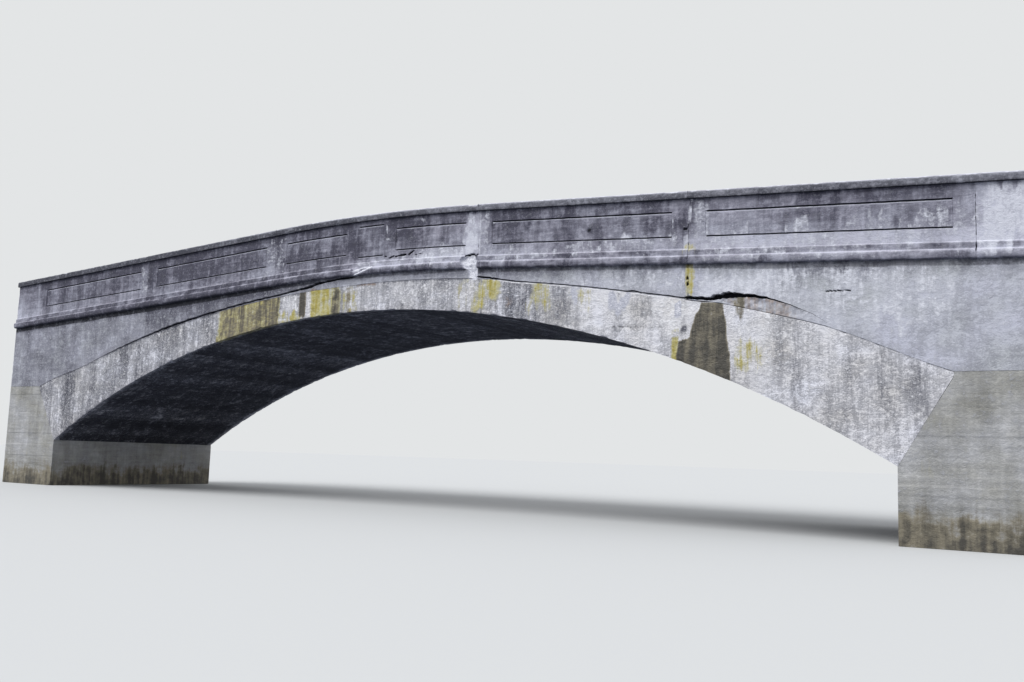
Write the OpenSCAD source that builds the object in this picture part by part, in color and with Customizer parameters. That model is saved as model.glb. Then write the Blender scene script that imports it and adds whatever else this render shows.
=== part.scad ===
/* Concrete arch road bridge: one flat segmental arch with closed spandrels and panelled parapets.

   X runs along the road, Y across it and Z up. The origin is the middle of the bridge at the level
   of the abutments' undersides. All sizes are in millimetres.

   Two lines set the shape. The arch line is a circular soffit with a larger circle on its back, so the
   ring gets thicker towards the abutments. The road line is a crest curve over the centre bay that runs
   into a straight grade on both sides, and every parapet edge is an offset of it. */

/* [Arch] */

// Clear distance between the two abutment faces
clear_span = 21360; // [17000:20:22000]

// Radius of the underside of the arch
soffit_radius = 20760; // [16000:20:30000]

// Radius of the back of the arch, larger than that of the underside
back_radius = 32570; // [28000:20:40000]

// Thickness of the arch at the crown
crown_thickness = 585; // [400:5:800]

// Height of the springings above the abutments' undersides
springing_height = 1200; // [600:20:2400]

// Width of the plumb shoulder behind the skewback
shoulder = 40; // [20:1:80]

// Length of the abutments behind their faces
abutment_length = 2170; // [1800:10:3000]

/* [Road line] */

// Slope of the side bays in percent
grade_percent = 5.67; // [2:0.01:7]

// Height of the spandrel wall over the crown, from the ring to the string course
crown_spandrel = 200; // [120:5:400]

// Width over the spandrel walls
bridge_width = 5390; // [4000:10:8000]

/* [Bays] */

// Length of the centre bay between its expansion joints
centre_bay = 5600; // [4600:20:6400]

// Length of the bay next to the centre
side_bay = 4450; // [3600:20:5000]

// Length of the plain end post
end_post = 1000; // [600:20:1600]

// Width of the open expansion joints
joint_gap = 14; // [6:1:30]

/* [Walls] */

// Thickness of the spandrel walls
spandrel_thickness = 400; // [300:10:600]

// Thickness of the parapet walls
parapet_thickness = 300; // [240:10:400]

// Height of the parapet from the underside of the string course to the top of the coping
parapet_height = 1312; // [1100:4:1500]

// Depth of the coping
coping_depth = 140; // [90:2:200]

// Overhang of the coping past both faces of the parapet
coping_overhang = 60; // [20:2:100]

// Height of the plinth at the foot of the parapet, with the string course
plinth_height = 254; // [200:2:320]

// Projection of the plinth past the wall
plinth_step = 28; // [12:1:50]

// Diameter of the round string course under the plinth
string_diameter = 110; // [70:2:150]

/* [Panels] */

// Distance from the top of the coping down to the long panels
panel_drop = 354; // [300:2:420]

// Height of the long panels
panel_height = 456; // [360:4:500]

// Distance from the top of the coping down to the small centre panel
centre_panel_drop = 277; // [220:1:340]

// Height of the small centre panel
centre_panel_height = 656; // [500:4:700]

// Width of the small centre panel
centre_panel_width = 738; // [500:2:1000]

// Plain margin between a panel and the next joint or panel
panel_margin = 311; // [200:1:450]

// Width of the grooves along the top and the bottom of each panel
groove_width = 30; // [16:1:50]

// Width of the grooves at the two ends of each panel
end_groove_width = 14; // [8:1:50]

// Depth of the groove round each panel
groove_depth = 26; // [14:1:50]

// Depth to which the field inside the groove is sunk
field_depth = 8; // [2:1:12]

/* [Road] */

// Depth of the road slab
slab_depth = 250; // [150:5:400]

/* [Parts] */

// One piece by name, or all of them

/* [Hidden] */

half_span = clear_span / 2;
rise = soffit_radius - sqrt(pow(soffit_radius, 2) - pow(half_span, 2));
soffit_crown = springing_height + rise;
soffit_centre = soffit_crown - soffit_radius;
back_crown = soffit_crown + crown_thickness;
back_centre = back_crown - back_radius;

// The skewback is square to the soffit: it starts at the springing and ends on the back of the arch
skew_angle = asin(half_span / soffit_radius);
lift = soffit_radius * cos(skew_angle) + soffit_centre - back_centre;
along = half_span * sin(skew_angle) + lift * cos(skew_angle);
skew_length = sqrt(pow(along, 2) + pow(back_radius, 2) - pow(half_span, 2) - pow(lift, 2)) - along;

// A plumb shoulder takes the sharp corner off between the skewback and the back of the arch
shoulder_x = half_span + skew_length * sin(skew_angle) - shoulder;
shoulder_z = soffit_centre + shoulder_x / tan(skew_angle);
abutment_top = back_centre + sqrt(pow(back_radius, 2) - pow(shoulder_x, 2));

joint_1 = centre_bay / 2;
joint_2 = joint_1 + side_bay;
bridge_end = half_span + abutment_length;
joint_3 = bridge_end - end_post;

road_line_crown = back_crown + crown_spandrel + parapet_height;
grade_angle = atan(grade_percent / 100);
crest_radius = joint_1 / sin(grade_angle);
crest_centre = road_line_crown - crest_radius;
road_drop = parapet_height - slab_depth;

wall_face = bridge_width / 2;
string_radius = string_diameter / 2;
eps = 1;

arc_steps = 2880;
round_steps = 32;

// Elevations are drawn with X along the road and Y as height, then stood up by this module.
// It fills from y0 to y1 across the bridge.
module across(y0, y1) {
  translate([0, y1, 0])
    rotate([90, 0, 0])
      linear_extrude(height = y1 - y0)
        children();
}

// Disc with a facet corner straight above corner_x, so that a piece cut there keeps its height.
module disc(centre, radius, corner_x) {
  translate([0, centre])
    rotate(-asin(corner_x / radius))
      circle(r = radius, $fn = arc_steps);
}

// An elevation and its mirror image about the middle of the bridge.
module both_halves() {
  children();
  mirror([1, 0])
    children();
}

// The centre bay is drawn as its right half and completed here. The other bays stay as they are.
module whole_bay(bay) {
  children();
  if (bay == 0)
    mirror([1, 0])
      children();
}

// Strip of elevation between two drops below the coping's top line, from x0 to x1, plumb ends.
// The centre bay follows the crest curve.
module crest_strip(drop_0, drop_1, x0, x1) {
  intersection() {
    difference() {
      disc(crest_centre, crest_radius - drop_0, 0);
      disc(crest_centre, crest_radius - drop_1, x1);
    }
    translate([x0, 0])
      square([x1 - x0, 2 * road_line_crown]);
  }
}

// The same strip on the straight grade of the right-hand bays.
module grade_strip(drop_0, drop_1, x0, x1) {
  intersection() {
    translate([0, crest_centre])
      rotate([0, 0, -grade_angle])
        translate([-bridge_end, crest_radius - drop_1])
          square([3 * bridge_end, drop_1 - drop_0]);
    translate([x0, -road_line_crown])
      square([x1 - x0, 3 * road_line_crown]);
  }
}

// Strip for one bay: bay 0 is the right half of the centre one, the others lie to its right.
module bay_strip(bay, drop_0, drop_1, x0, x1) {
  if (bay == 0) crest_strip(drop_0, drop_1, x0, x1);
  else grade_strip(drop_0, drop_1, x0, x1);
}

// The left half of the bridge mirrors the right half and the back mirrors the front.
// Pieces are drawn at the right of the front.
module place(left, back) {
  mirror([left ? 1 : 0, 0, 0])
    mirror([0, back ? 1 : 0, 0])
      children();
}

// First and last X of the wall in one bay, half a joint short at every joint. The centre bay is
// drawn as its right half, from the middle of the bridge.
function bay_start(bay) =
  bay == 0 ? 0 :
  bay == 1 ? joint_1 + joint_gap / 2 :
  joint_2 + joint_gap / 2;

function bay_stop(bay) =
  bay == 0 ? joint_1 - joint_gap / 2 :
  bay == 1 ? joint_2 - joint_gap / 2 :
  joint_3 - joint_gap / 2;

function wall_stop(bay) = bay == 2 ? bridge_end : bay_stop(bay);

// Elevation of the solid block behind the skewback, down to its underside.
module abutment_shape() {
  polygon([
    [half_span, 0],
    [half_span, springing_height],
    [shoulder_x, shoulder_z],
    [shoulder_x, abutment_top],
    [bridge_end, abutment_top],
    [bridge_end, 0]
  ]);
}

module abutment() {
  across(-wall_face, wall_face)
    abutment_shape();
}

// Right half of the arch ring: the soffit's disc taken out of the disc of the back, as far as
// the skewback and its plumb shoulder.
module half_ring() {
  intersection() {
    difference() {
      disc(back_centre, back_radius, 0);
      disc(soffit_centre, soffit_radius, half_span);
    }
    polygon([
      [0, soffit_centre],
      [shoulder_x, shoulder_z],
      [shoulder_x, 2 * back_crown],
      [0, 2 * back_crown]
    ]);
  }
}

module barrel() {
  across(-wall_face, wall_face)
    both_halves()
      half_ring();
}

// Elevation of all that lies over the arch and the abutment, up to the string course.
module over_arch(bay, x0, x1) {
  difference() {
    bay_strip(bay, parapet_height, parapet_height + back_crown, x0, x1);
    disc(back_centre, back_radius, min(x1, shoulder_x));
    translate([shoulder_x, 0])
      square([bridge_end, abutment_top]);
  }
}

// Spandrel wall of one bay.
module spandrel(bay) {
  across(-wall_face, -wall_face + spandrel_thickness)
    whole_bay(bay)
      over_arch(bay, bay_start(bay), wall_stop(bay));
}

// Packed fill between the spandrel walls, as one body from end to end.
module fill() {
  inner = wall_face - spandrel_thickness;
  across(-inner, inner)
    both_halves() {
      over_arch(0, 0, joint_1);
      over_arch(1, joint_1, bridge_end);
    }
}

// Road slab between the parapets.
module slab() {
  inner = wall_face - parapet_thickness;
  across(-inner, inner)
    both_halves() {
      crest_strip(road_drop, parapet_height, 0, joint_1);
      grade_strip(road_drop, parapet_height, joint_1, bridge_end);
    }
}

// Round string course, run along the crest curve or along the straight grade.
module string_round(bay, x0, x1) {
  run_radius = crest_radius - parapet_height + string_radius;
  sweep = asin(x1 / (run_radius - string_radius));
  start = bay == 0 ? -x1 : x0;
  intersection() {
    translate([0, -wall_face - plinth_step, crest_centre])
      if (bay == 0) {
        rotate([90, 0, 0])
          rotate([0, 0, 90 - sweep])
            rotate_extrude(angle = 2 * sweep, $fn = arc_steps)
              translate([run_radius, 0])
                circle(r = string_radius, $fn = round_steps);
      } else {
        rotate([0, 90 + grade_angle, 0])
          translate([-run_radius, 0, -bridge_end])
            cylinder(r = string_radius, h = 3 * bridge_end, $fn = round_steps);
      }
    translate([start, -wall_face - plinth_step - string_diameter, 0])
      cube([x1 - start, plinth_step + 1.5 * string_diameter, 2 * road_line_crown]);
  }
}

// Sunk panel: a groove all round with a slightly sunk field inside it.
module panel_cut(bay, drop, height, x0, x1) {
  across(-wall_face - eps, -wall_face + field_depth)
    whole_bay(bay)
      bay_strip(bay, drop, drop + height, x0, x1);
  across(-wall_face, -wall_face + groove_depth)
    whole_bay(bay)
      difference() {
        bay_strip(bay, drop, drop + height, x0, x1);
        bay_strip(bay, drop + groove_width, drop + height - groove_width,
          x0 + end_groove_width, x1 - end_groove_width);
      }
}

// Small panel in the middle of the centre bay, drawn whole.
module centre_panel_cut() {
  half = centre_panel_width / 2;
  bottom = centre_panel_drop + centre_panel_height;
  across(-wall_face - eps, -wall_face + field_depth)
    crest_strip(centre_panel_drop, bottom, -half, half);
  across(-wall_face, -wall_face + groove_depth)
    difference() {
      crest_strip(centre_panel_drop, bottom, -half, half);
      crest_strip(centre_panel_drop + groove_width, bottom - groove_width,
        -half + end_groove_width, half - end_groove_width);
    }
}

// Panels of one bay, all a margin apart: the centre bay has a small panel between two long ones.
module bay_panels(bay) {
  if (bay == 0) {
    centre_panel_cut();
    panel_cut(0, panel_drop, panel_height, centre_panel_width / 2 + panel_margin, joint_1 - panel_margin);
  } else {
    start = bay == 1 ? joint_1 : joint_2;
    stop = bay == 1 ? joint_2 : joint_3;
    panel_cut(bay, panel_drop, panel_height, start + panel_margin, stop - panel_margin);
  }
}

// Plain parapet section from x0 to x1: the wall, its plinth step and the round string course.
module parapet_run(bay, x0, x1) {
  plinth_drop = parapet_height - plinth_height;
  across(-wall_face, -wall_face + parapet_thickness)
    whole_bay(bay)
      bay_strip(bay, coping_depth, parapet_height, x0, x1);
  across(-wall_face - plinth_step, -wall_face + eps)
    whole_bay(bay)
      bay_strip(bay, plinth_drop, parapet_height, x0, x1);
  string_round(bay, x0, x1);
}

module parapet(bay) {
  difference() {
    parapet_run(bay, bay_start(bay), bay_stop(bay));
    bay_panels(bay);
  }
}

module post() {
  parapet_run(2, joint_3 + joint_gap / 2, bridge_end);
}

// Flat coping of one bay, the outer one running on over the end post.
module coping(bay) {
  across(-wall_face - coping_overhang, -wall_face + parapet_thickness + coping_overhang)
    whole_bay(bay)
      bay_strip(bay, 0, coping_depth, bay_start(bay), wall_stop(bay));
}

module left_abutment() {
  color("DarkGray") place(true, false) abutment();
}

module right_abutment() {
  color("DarkGray") place(false, false) abutment();
}

module arch_barrel() {
  color("Silver") barrel();
}

module road_fill() {
  color("RosyBrown") fill();
}

module road_slab() {
  color("DimGray") slab();
}

module spandrel_piece(bay, left, back) {
  color("LightSlateGray") place(left, back) spandrel(bay);
}

module parapet_piece(bay, left, back) {
  color("SlateGray") place(left, back) parapet(bay);
}

module coping_piece(bay, left, back) {
  color("LightGray") place(left, back) coping(bay);
}

module end_post_piece(left, back) {
  color("Gray") place(left, back) post();
}

left_abutment();
right_abutment();
arch_barrel();
road_fill();
road_slab();
spandrel_piece(2, true, false);  // front_far_left_spandrel
spandrel_piece(1, true, false);  // front_left_spandrel
spandrel_piece(0, false, false);  // front_centre_spandrel
spandrel_piece(1, false, false);  // front_right_spandrel
spandrel_piece(2, false, false);  // front_far_right_spandrel
spandrel_piece(2, true, true);  // back_far_left_spandrel
spandrel_piece(1, true, true);  // back_left_spandrel
spandrel_piece(0, false, true);  // back_centre_spandrel
spandrel_piece(1, false, true);  // back_right_spandrel
spandrel_piece(2, false, true);  // back_far_right_spandrel
parapet_piece(2, true, false);  // front_far_left_parapet
parapet_piece(1, true, false);  // front_left_parapet
parapet_piece(0, false, false);  // front_centre_parapet
parapet_piece(1, false, false);  // front_right_parapet
parapet_piece(2, false, false);  // front_far_right_parapet
parapet_piece(2, true, true);  // back_far_left_parapet
parapet_piece(1, true, true);  // back_left_parapet
parapet_piece(0, false, true);  // back_centre_parapet
parapet_piece(1, false, true);  // back_right_parapet
parapet_piece(2, false, true);  // back_far_right_parapet
coping_piece(2, true, false);  // front_far_left_coping
coping_piece(1, true, false);  // front_left_coping
coping_piece(0, false, false);  // front_centre_coping
coping_piece(1, false, false);  // front_right_coping
coping_piece(2, false, false);  // front_far_right_coping
coping_piece(2, true, true);  // back_far_left_coping
coping_piece(1, true, true);  // back_left_coping
coping_piece(0, false, true);  // back_centre_coping
coping_piece(1, false, true);  // back_right_coping
coping_piece(2, false, true);  // back_far_right_coping
end_post_piece(true, false);  // front_left_end_post
end_post_piece(false, false);  // front_right_end_post
end_post_piece(true, true);  // back_left_end_post
end_post_piece(false, true);  // back_right_end_post
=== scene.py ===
"""Weathered concrete arch road bridge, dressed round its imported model.

Every wall, ring, coping and abutment is a numpy surface: a section of points carried along the bridge, with
the grooves, worn edges, cracks and broken places in the mesh itself. The stains are masks on the vertices
that the concrete materials read, so each one keeps its place. All sizes are in metres.
"""

import logging
import math
from dataclasses import dataclass, field
from enum import Enum, IntEnum

import bpy
import numpy as np
from bpy.types import Material, Node, NodeSocket, NodeTree, Object, World
from mathutils import Matrix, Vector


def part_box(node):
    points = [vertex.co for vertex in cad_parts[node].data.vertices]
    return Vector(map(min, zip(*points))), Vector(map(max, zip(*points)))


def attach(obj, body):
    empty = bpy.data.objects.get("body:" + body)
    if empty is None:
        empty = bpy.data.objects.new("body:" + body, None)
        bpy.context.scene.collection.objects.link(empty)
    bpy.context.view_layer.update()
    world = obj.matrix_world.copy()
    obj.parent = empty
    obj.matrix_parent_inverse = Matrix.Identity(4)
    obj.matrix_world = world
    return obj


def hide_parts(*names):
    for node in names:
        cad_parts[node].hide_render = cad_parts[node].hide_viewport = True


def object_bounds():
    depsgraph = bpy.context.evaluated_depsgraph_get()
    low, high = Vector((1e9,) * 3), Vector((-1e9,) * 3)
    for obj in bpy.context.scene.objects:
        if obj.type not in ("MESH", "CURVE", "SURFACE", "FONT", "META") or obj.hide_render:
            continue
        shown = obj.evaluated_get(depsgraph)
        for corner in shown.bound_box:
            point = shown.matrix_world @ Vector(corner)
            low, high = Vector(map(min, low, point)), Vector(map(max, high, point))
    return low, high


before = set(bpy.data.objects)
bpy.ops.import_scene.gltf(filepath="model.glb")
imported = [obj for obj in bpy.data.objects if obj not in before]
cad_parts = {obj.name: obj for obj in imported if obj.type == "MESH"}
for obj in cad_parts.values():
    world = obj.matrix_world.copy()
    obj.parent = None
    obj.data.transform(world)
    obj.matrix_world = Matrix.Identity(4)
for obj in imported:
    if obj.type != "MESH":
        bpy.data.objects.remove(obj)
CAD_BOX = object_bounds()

LOG = logging.getLogger("bridge")

# Numbers over the points of a grid, and what a colour socket of a shader node takes
Grid = np.ndarray
Colour = NodeSocket | tuple[float, ...]


class Side(Enum):
    """Which long face of the bridge a wall stands on, as the sign of its Y."""

    FRONT = -1
    BACK = 1


class Mark(Enum):
    """Kinds of weathering, and painted shade, that a surface carries as a mask from 0 to 1."""

    SOOT = "soot"
    PALE = "pale"
    LICHEN = "lichen"
    DAMP = "damp"
    RUST = "rust"
    RAW = "raw"
    # Painted shade in cracks, holes, grooves, under ledges and on the soffit, partly a dark crust
    SHADE_AND_CRUST = "shade_and_crust"


class Seed(IntEnum):
    """Numbers of the random fields, one for each use."""

    PATCH_ALONG = 11
    PATCH_UP = 12
    SPALL_EDGE = 31
    SPALL_RUBBLE = 32
    SPALL_GRIT = 34
    CRACK_PATH = 41
    ROLL_WEAR = 51
    FRACTURE = 53
    WALL_WAVE = 61
    WALL_GRAIN = 62
    CHIP = 63
    WALL_END = 65
    WALL_SWAY = 67
    WALL_LIFT = 69
    COPING_BITE = 71
    COPING_NICK = 73
    COPING_END = 75
    COPING_WAVE = 77
    COPING_TOP = 79
    GAP_RISE = 81
    GAP_LIPS = 82
    GAP_WIDTH = 83
    RUBBLE = 84
    SPANDREL_WAVE = 85
    RUBBLE_SHADOW = 86
    SPANDREL_END = 87
    SHADE = 89
    ROLL_SOOT = 90
    BOARD_HEIGHT = 91
    BOARD_TONE = 93
    RING_GRAIN = 94
    RING_FOOT = 95
    RING_TOP = 96
    RING_WAVE = 97
    SOFFIT_WAVE = 98
    BLOCK_BOARDS = 101
    BLOCK_WAVE = 103
    BLOCK_SOOT = 105
    BLOCK_DAMP = 107
    BLOCK_LICHEN = 109


# Numbers and fields

# Odd multipliers of the fields' hash: one for each axis, one for the seed and two that mix the bits
AXIS_PRIMES = (73856093, 19349663, 83492791)
SEED_PRIME = 2654435761
MIX_PRIMES = ((np.uint64(15), np.uint64(2246822519)), (np.uint64(13), np.uint64(3266489917)))
WORD = np.uint64(0xFFFFFFFF)

# Distance between the layers of a rough field, and what brings their sum to about one
LAYER_APART = 7.3
LAYER_SUM = 1.6

# Least distance between two stations, and the angle from which an edge is shaded sharp
CLOSEST = 0.003
SHARP_ANGLE = math.radians(30)


def linear(colour: str) -> tuple[float, float, float, float]:
    """Turns an sRGB hex colour into the linear colour that a shader takes.

    Args:
        colour: Six hex digits after a hash.

    Returns:
        Linear red, green, blue and an alpha of one.
    """
    parts = [int(colour[i : i + 2], 16) / 255 for i in (1, 3, 5)]
    return (*[c / 12.92 if c <= 0.04045 else ((c + 0.055) / 1.055) ** 2.4 for c in parts], 1.0)


def smooth(low: float, high: float, value: Grid) -> Grid:
    """Smooth step: t * t * (3 - 2 t) with t running from 0 at low to 1 at high.

    Args:
        low: Where the step starts.
        high: Where it ends; below low the step falls instead.
        value: Places to work it out at.

    Returns:
        The step at each place.
    """
    t = np.clip((value - low) / (high - low), 0, 1)
    return t * t * (3 - 2 * t)


def lattice(points: Grid, seed: int) -> Grid:
    """Smooth random field of unit cells: hashed corner values blended with t * t * (3 - 2 t) on each axis.

    Args:
        points: Places, with three coordinates in the last axis, already divided by the cell size.
        seed: Picks one field out of many.

    Returns:
        A value from -1 to 1 at each place.
    """
    base = np.floor(points).astype(np.int64)
    t = points - base
    t = t * t * (3 - 2 * t)
    total = np.zeros(points.shape[:-1])
    for corner in range(8):
        offset = np.array([corner & 1, corner >> 1 & 1, corner >> 2 & 1])
        weight = np.where(offset == 1, t, 1 - t).prod(axis=-1)
        cell = ((base + offset) & 0xFFFF).astype(np.uint64)
        code = cell[..., 0] * AXIS_PRIMES[0] ^ cell[..., 1] * AXIS_PRIMES[1] ^ cell[..., 2] * AXIS_PRIMES[2]
        code = (code ^ np.uint64(seed * SEED_PRIME % 2**32)) & WORD
        for shift, prime in MIX_PRIMES:
            code = (code ^ (code >> shift)) * prime & WORD
        code = code ^ (code >> np.uint64(16))
        total += weight * (code.astype(float) / 2**31 - 1)
    return total


def rough(x: Grid, z: Grid, size: float, seed: int, layers: int = 3, tall: float = 1.0) -> Grid:
    """Layered random field on a wall: each layer has half the cell and half the height of the one before.

    Args:
        x: Places along the wall.
        z: Places up the wall, of the same shape.
        size: Cell of the coarsest layer, in metres.
        seed: Picks one field out of many.
        layers: How many layers are added up.
        tall: How many times taller than wide a cell is, as stains that run down a wall are.

    Returns:
        A value of about -1 to 1 at each place.
    """
    x, z = np.broadcast_arrays(x, z)
    total = np.zeros(x.shape)
    for layer in range(layers):
        cell = size / 2**layer
        points = np.stack([x / cell, z / (cell * tall), np.full(x.shape, layer * LAYER_APART)], axis=-1)
        total += lattice(points, seed + layer) / 2**layer
    return total / LAYER_SUM


def stations(
    start: float,
    stop: float,
    step: float,
    edges: tuple[float, ...] = (),
    zones: tuple[tuple[float, float, float], ...] = (),
    points: tuple[float, ...] = (),
    lip: float = 0.004,
) -> Grid:
    """Places for the lines of a grid: an even step, a finer one in some zones, and a pair at each crisp edge.

    Args:
        start: First place.
        stop: Last place.
        step: Usual distance between places.
        edges: Where the surface steps; each gets two places, a lip apart.
        zones: Low end, high end and step of each finer stretch.
        points: Places that get a line exactly.
        lip: Width of the slope that a worn arris makes of a step.

    Returns:
        The sorted places.
    """
    pinned = [e + s * lip / 2 for e in edges for s in (-1, 1)] + list(points)
    pinned = np.array([place for place in pinned if start + lip / 2 < place < stop - lip / 2])
    runs = [np.linspace(start, stop, max(2, round((stop - start) / step) + 1))]
    for low, high, fine in zones:
        low, high = max(low, start), min(high, stop)
        if high - low > fine:
            runs.append(np.linspace(low, high, round((high - low) / fine) + 1))
    loose = np.unique(np.round(np.concatenate(runs), 6))
    loose = loose[np.concatenate([[True], np.diff(loose) > CLOSEST])]
    if pinned.size:
        loose = loose[np.abs(loose[:, None] - pinned[None, :]).min(axis=1) > lip * 0.8]
    return np.unique(np.concatenate([[start], loose, pinned, [stop]]))


def from_ends(x: Grid, start: float, stop: float) -> tuple[Grid, Grid]:
    """Distance from the nearer end of a wall, and the sign of X that leads inwards from that end."""
    left, right = np.abs(x - start), np.abs(x - stop)
    return np.minimum(left, right), np.where(left < right, 1, -1)


def crumbled(x: Grid, along: Grid, away: Grid, deep: float, fade: float, seed: int) -> Grid:
    """How far a wall's end is worn back at its joint: (0.5 mm + deep * field) * exp(-away / fade).

    Args:
        x: Places along the bridge.
        along: Places along the arris.
        away: Distances from the end.
        deep: Most that the arris has lost.
        fade: Distance over which the wear dies away.
        seed: Picks the random field.

    Returns:
        The wear at each place.
    """
    return (0.0005 + deep * np.clip(rough(x * 0, along, 0.07, seed), 0, 1)) * np.exp(-away / fade)


def chipped(x: Grid, z: Grid, away: Grid, seed: int) -> Grid:
    """Chips out of the face beside a joint, where a random field is high: a share from 0 to 1."""
    return np.clip(rough(x, z, 0.11, seed) - 0.15, 0, 1) * np.exp(-away / 0.022)


# Weathering

# Every mark but the soot, which lies on all faces
MARKS_BUT_SOOT = tuple(mark for mark in Mark if mark is not Mark.SOOT)

# How far past its outline a patch can still show, and the depth from which a crack is painted black as shade
PATCH_REACH = 0.5
BLACK_DEPTH = 0.02


@dataclass(frozen=True)
class Patch:
    """A stained or mended place on the front wall, with ragged edges."""

    mark: Mark
    x: tuple[float, float]
    z: tuple[float, float]
    strength: float = 1.0
    soft: float = 0.07
    ragged: float = 0.08

    def cover(self, x: Grid, z: Grid, shift: tuple[Grid, Grid]) -> Grid:
        """Strength times four smooth steps, one at each edge, at places first shifted by two random fields.

        Args:
            x: Places along the wall.
            z: Heights above the floor.
            shift: The random fields, from -1 to 1, for the shift along and up.

        Returns:
            How far the patch covers each place.
        """
        moved_x = x + self.ragged * shift[0]
        moved_z = z + 2 * self.ragged * shift[1]
        across = smooth(self.x[0] - self.soft, self.x[0] + self.soft, moved_x)
        across = across * smooth(self.x[1] + self.soft, self.x[1] - self.soft, moved_x)
        up = smooth(self.z[0] - 2 * self.soft, self.z[0] + 2 * self.soft, moved_z)
        up = up * smooth(self.z[1] + self.soft, self.z[1] - self.soft, moved_z)
        return self.strength * across * up


@dataclass(frozen=True)
class Run:
    """A stain that runs down the front wall between two wandering edges, whose places go by height."""

    mark: Mark
    heights: tuple[float, ...]
    left: tuple[float, ...]
    right: tuple[float, ...]
    strength: float = 1.0
    soft: float = 0.035
    ragged: float = 0.05

    @property
    def x(self) -> tuple[float, float]:
        """Lowest and highest place along the wall."""
        return min(self.left), max(self.right)

    def cover(self, x: Grid, z: Grid, shift: tuple[Grid, Grid]) -> Grid:
        """Strength times a smooth step at each edge, which runs straight between its places, and at each end.

        Args:
            x: Places along the wall.
            z: Heights above the floor.
            shift: Random fields, from -1 to 1, for the shift along and up.

        Returns:
            How far the run covers each place.
        """
        moved_x = x + self.ragged * shift[0]
        moved_z = z + 0.3 * self.ragged * shift[1]
        left, right = (np.interp(moved_z, self.heights, edge) for edge in (self.left, self.right))
        across = smooth(-self.soft, self.soft, moved_x - left)
        across = across * smooth(self.soft, -self.soft, moved_x - right)
        ends = smooth(-self.soft, self.soft, moved_z - self.heights[0])
        ends = ends * smooth(self.soft, -self.soft, moved_z - self.heights[-1])
        return self.strength * across * ends


@dataclass(frozen=True)
class Spall:
    """A place where the skin has broken off and left a rough hollow, or a small dark hole."""

    x: float
    z: float
    half: tuple[float, float]
    depth: float
    mark: Mark = Mark.RAW
    until: float = 99.0

    def hollow(self, x: Grid, z: Grid) -> tuple[Grid, Grid]:
        """Depth times a steep-sided bowl, a smooth step of the ragged distance from its middle.

        A joint cuts it off, since the damage on one side of it does not reach the other.

        Args:
            x: Places along the wall.
            z: Heights above the floor.

        Returns:
            How deep the hollow is at each place, and its mask.
        """
        far = np.hypot((x - self.x) / self.half[0], (z - self.z) / self.half[1])
        far = far + 0.40 * rough(x, z, 0.11, Seed.SPALL_EDGE)
        inside = smooth(1.08, 0.78, far) * (x < self.until)
        rubble = 1 + 0.40 * rough(x, z, 0.15, Seed.SPALL_RUBBLE)
        rubble = rubble + 0.40 * rough(x, z, 0.045, Seed.SPALL_GRIT)
        return self.depth * inside * rubble, inside


@dataclass(frozen=True)
class Crack:
    """A crack along a line of points on the wall."""

    line: tuple[tuple[float, float], ...]
    width: float
    depth: float

    def groove(self, x: Grid, z: Grid) -> Grid:
        """Depth times a smooth step of the distance from the nearest of the line's straight stretches.

        Args:
            x: Places along the wall.
            z: Heights above the floor.

        Returns:
            How deep the crack is at each place.
        """
        places = np.stack(np.broadcast_arrays(x, z), axis=-1)
        places = places + 0.012 * rough(places[..., 0], places[..., 1], 0.06, Seed.CRACK_PATH)[..., None]
        nearest = np.full(places.shape[:-1], 9.0)
        for a, b in zip(self.line[:-1], self.line[1:]):
            start, run = np.array(a), np.subtract(b, a)
            share = np.clip(((places - start) @ run) / (run @ run), 0, 1)
            gap = np.linalg.norm(places - start - share[..., None] * run, axis=-1)
            nearest = np.minimum(nearest, gap)
        return self.depth * smooth(self.width, self.width * 0.35, nearest)


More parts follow.
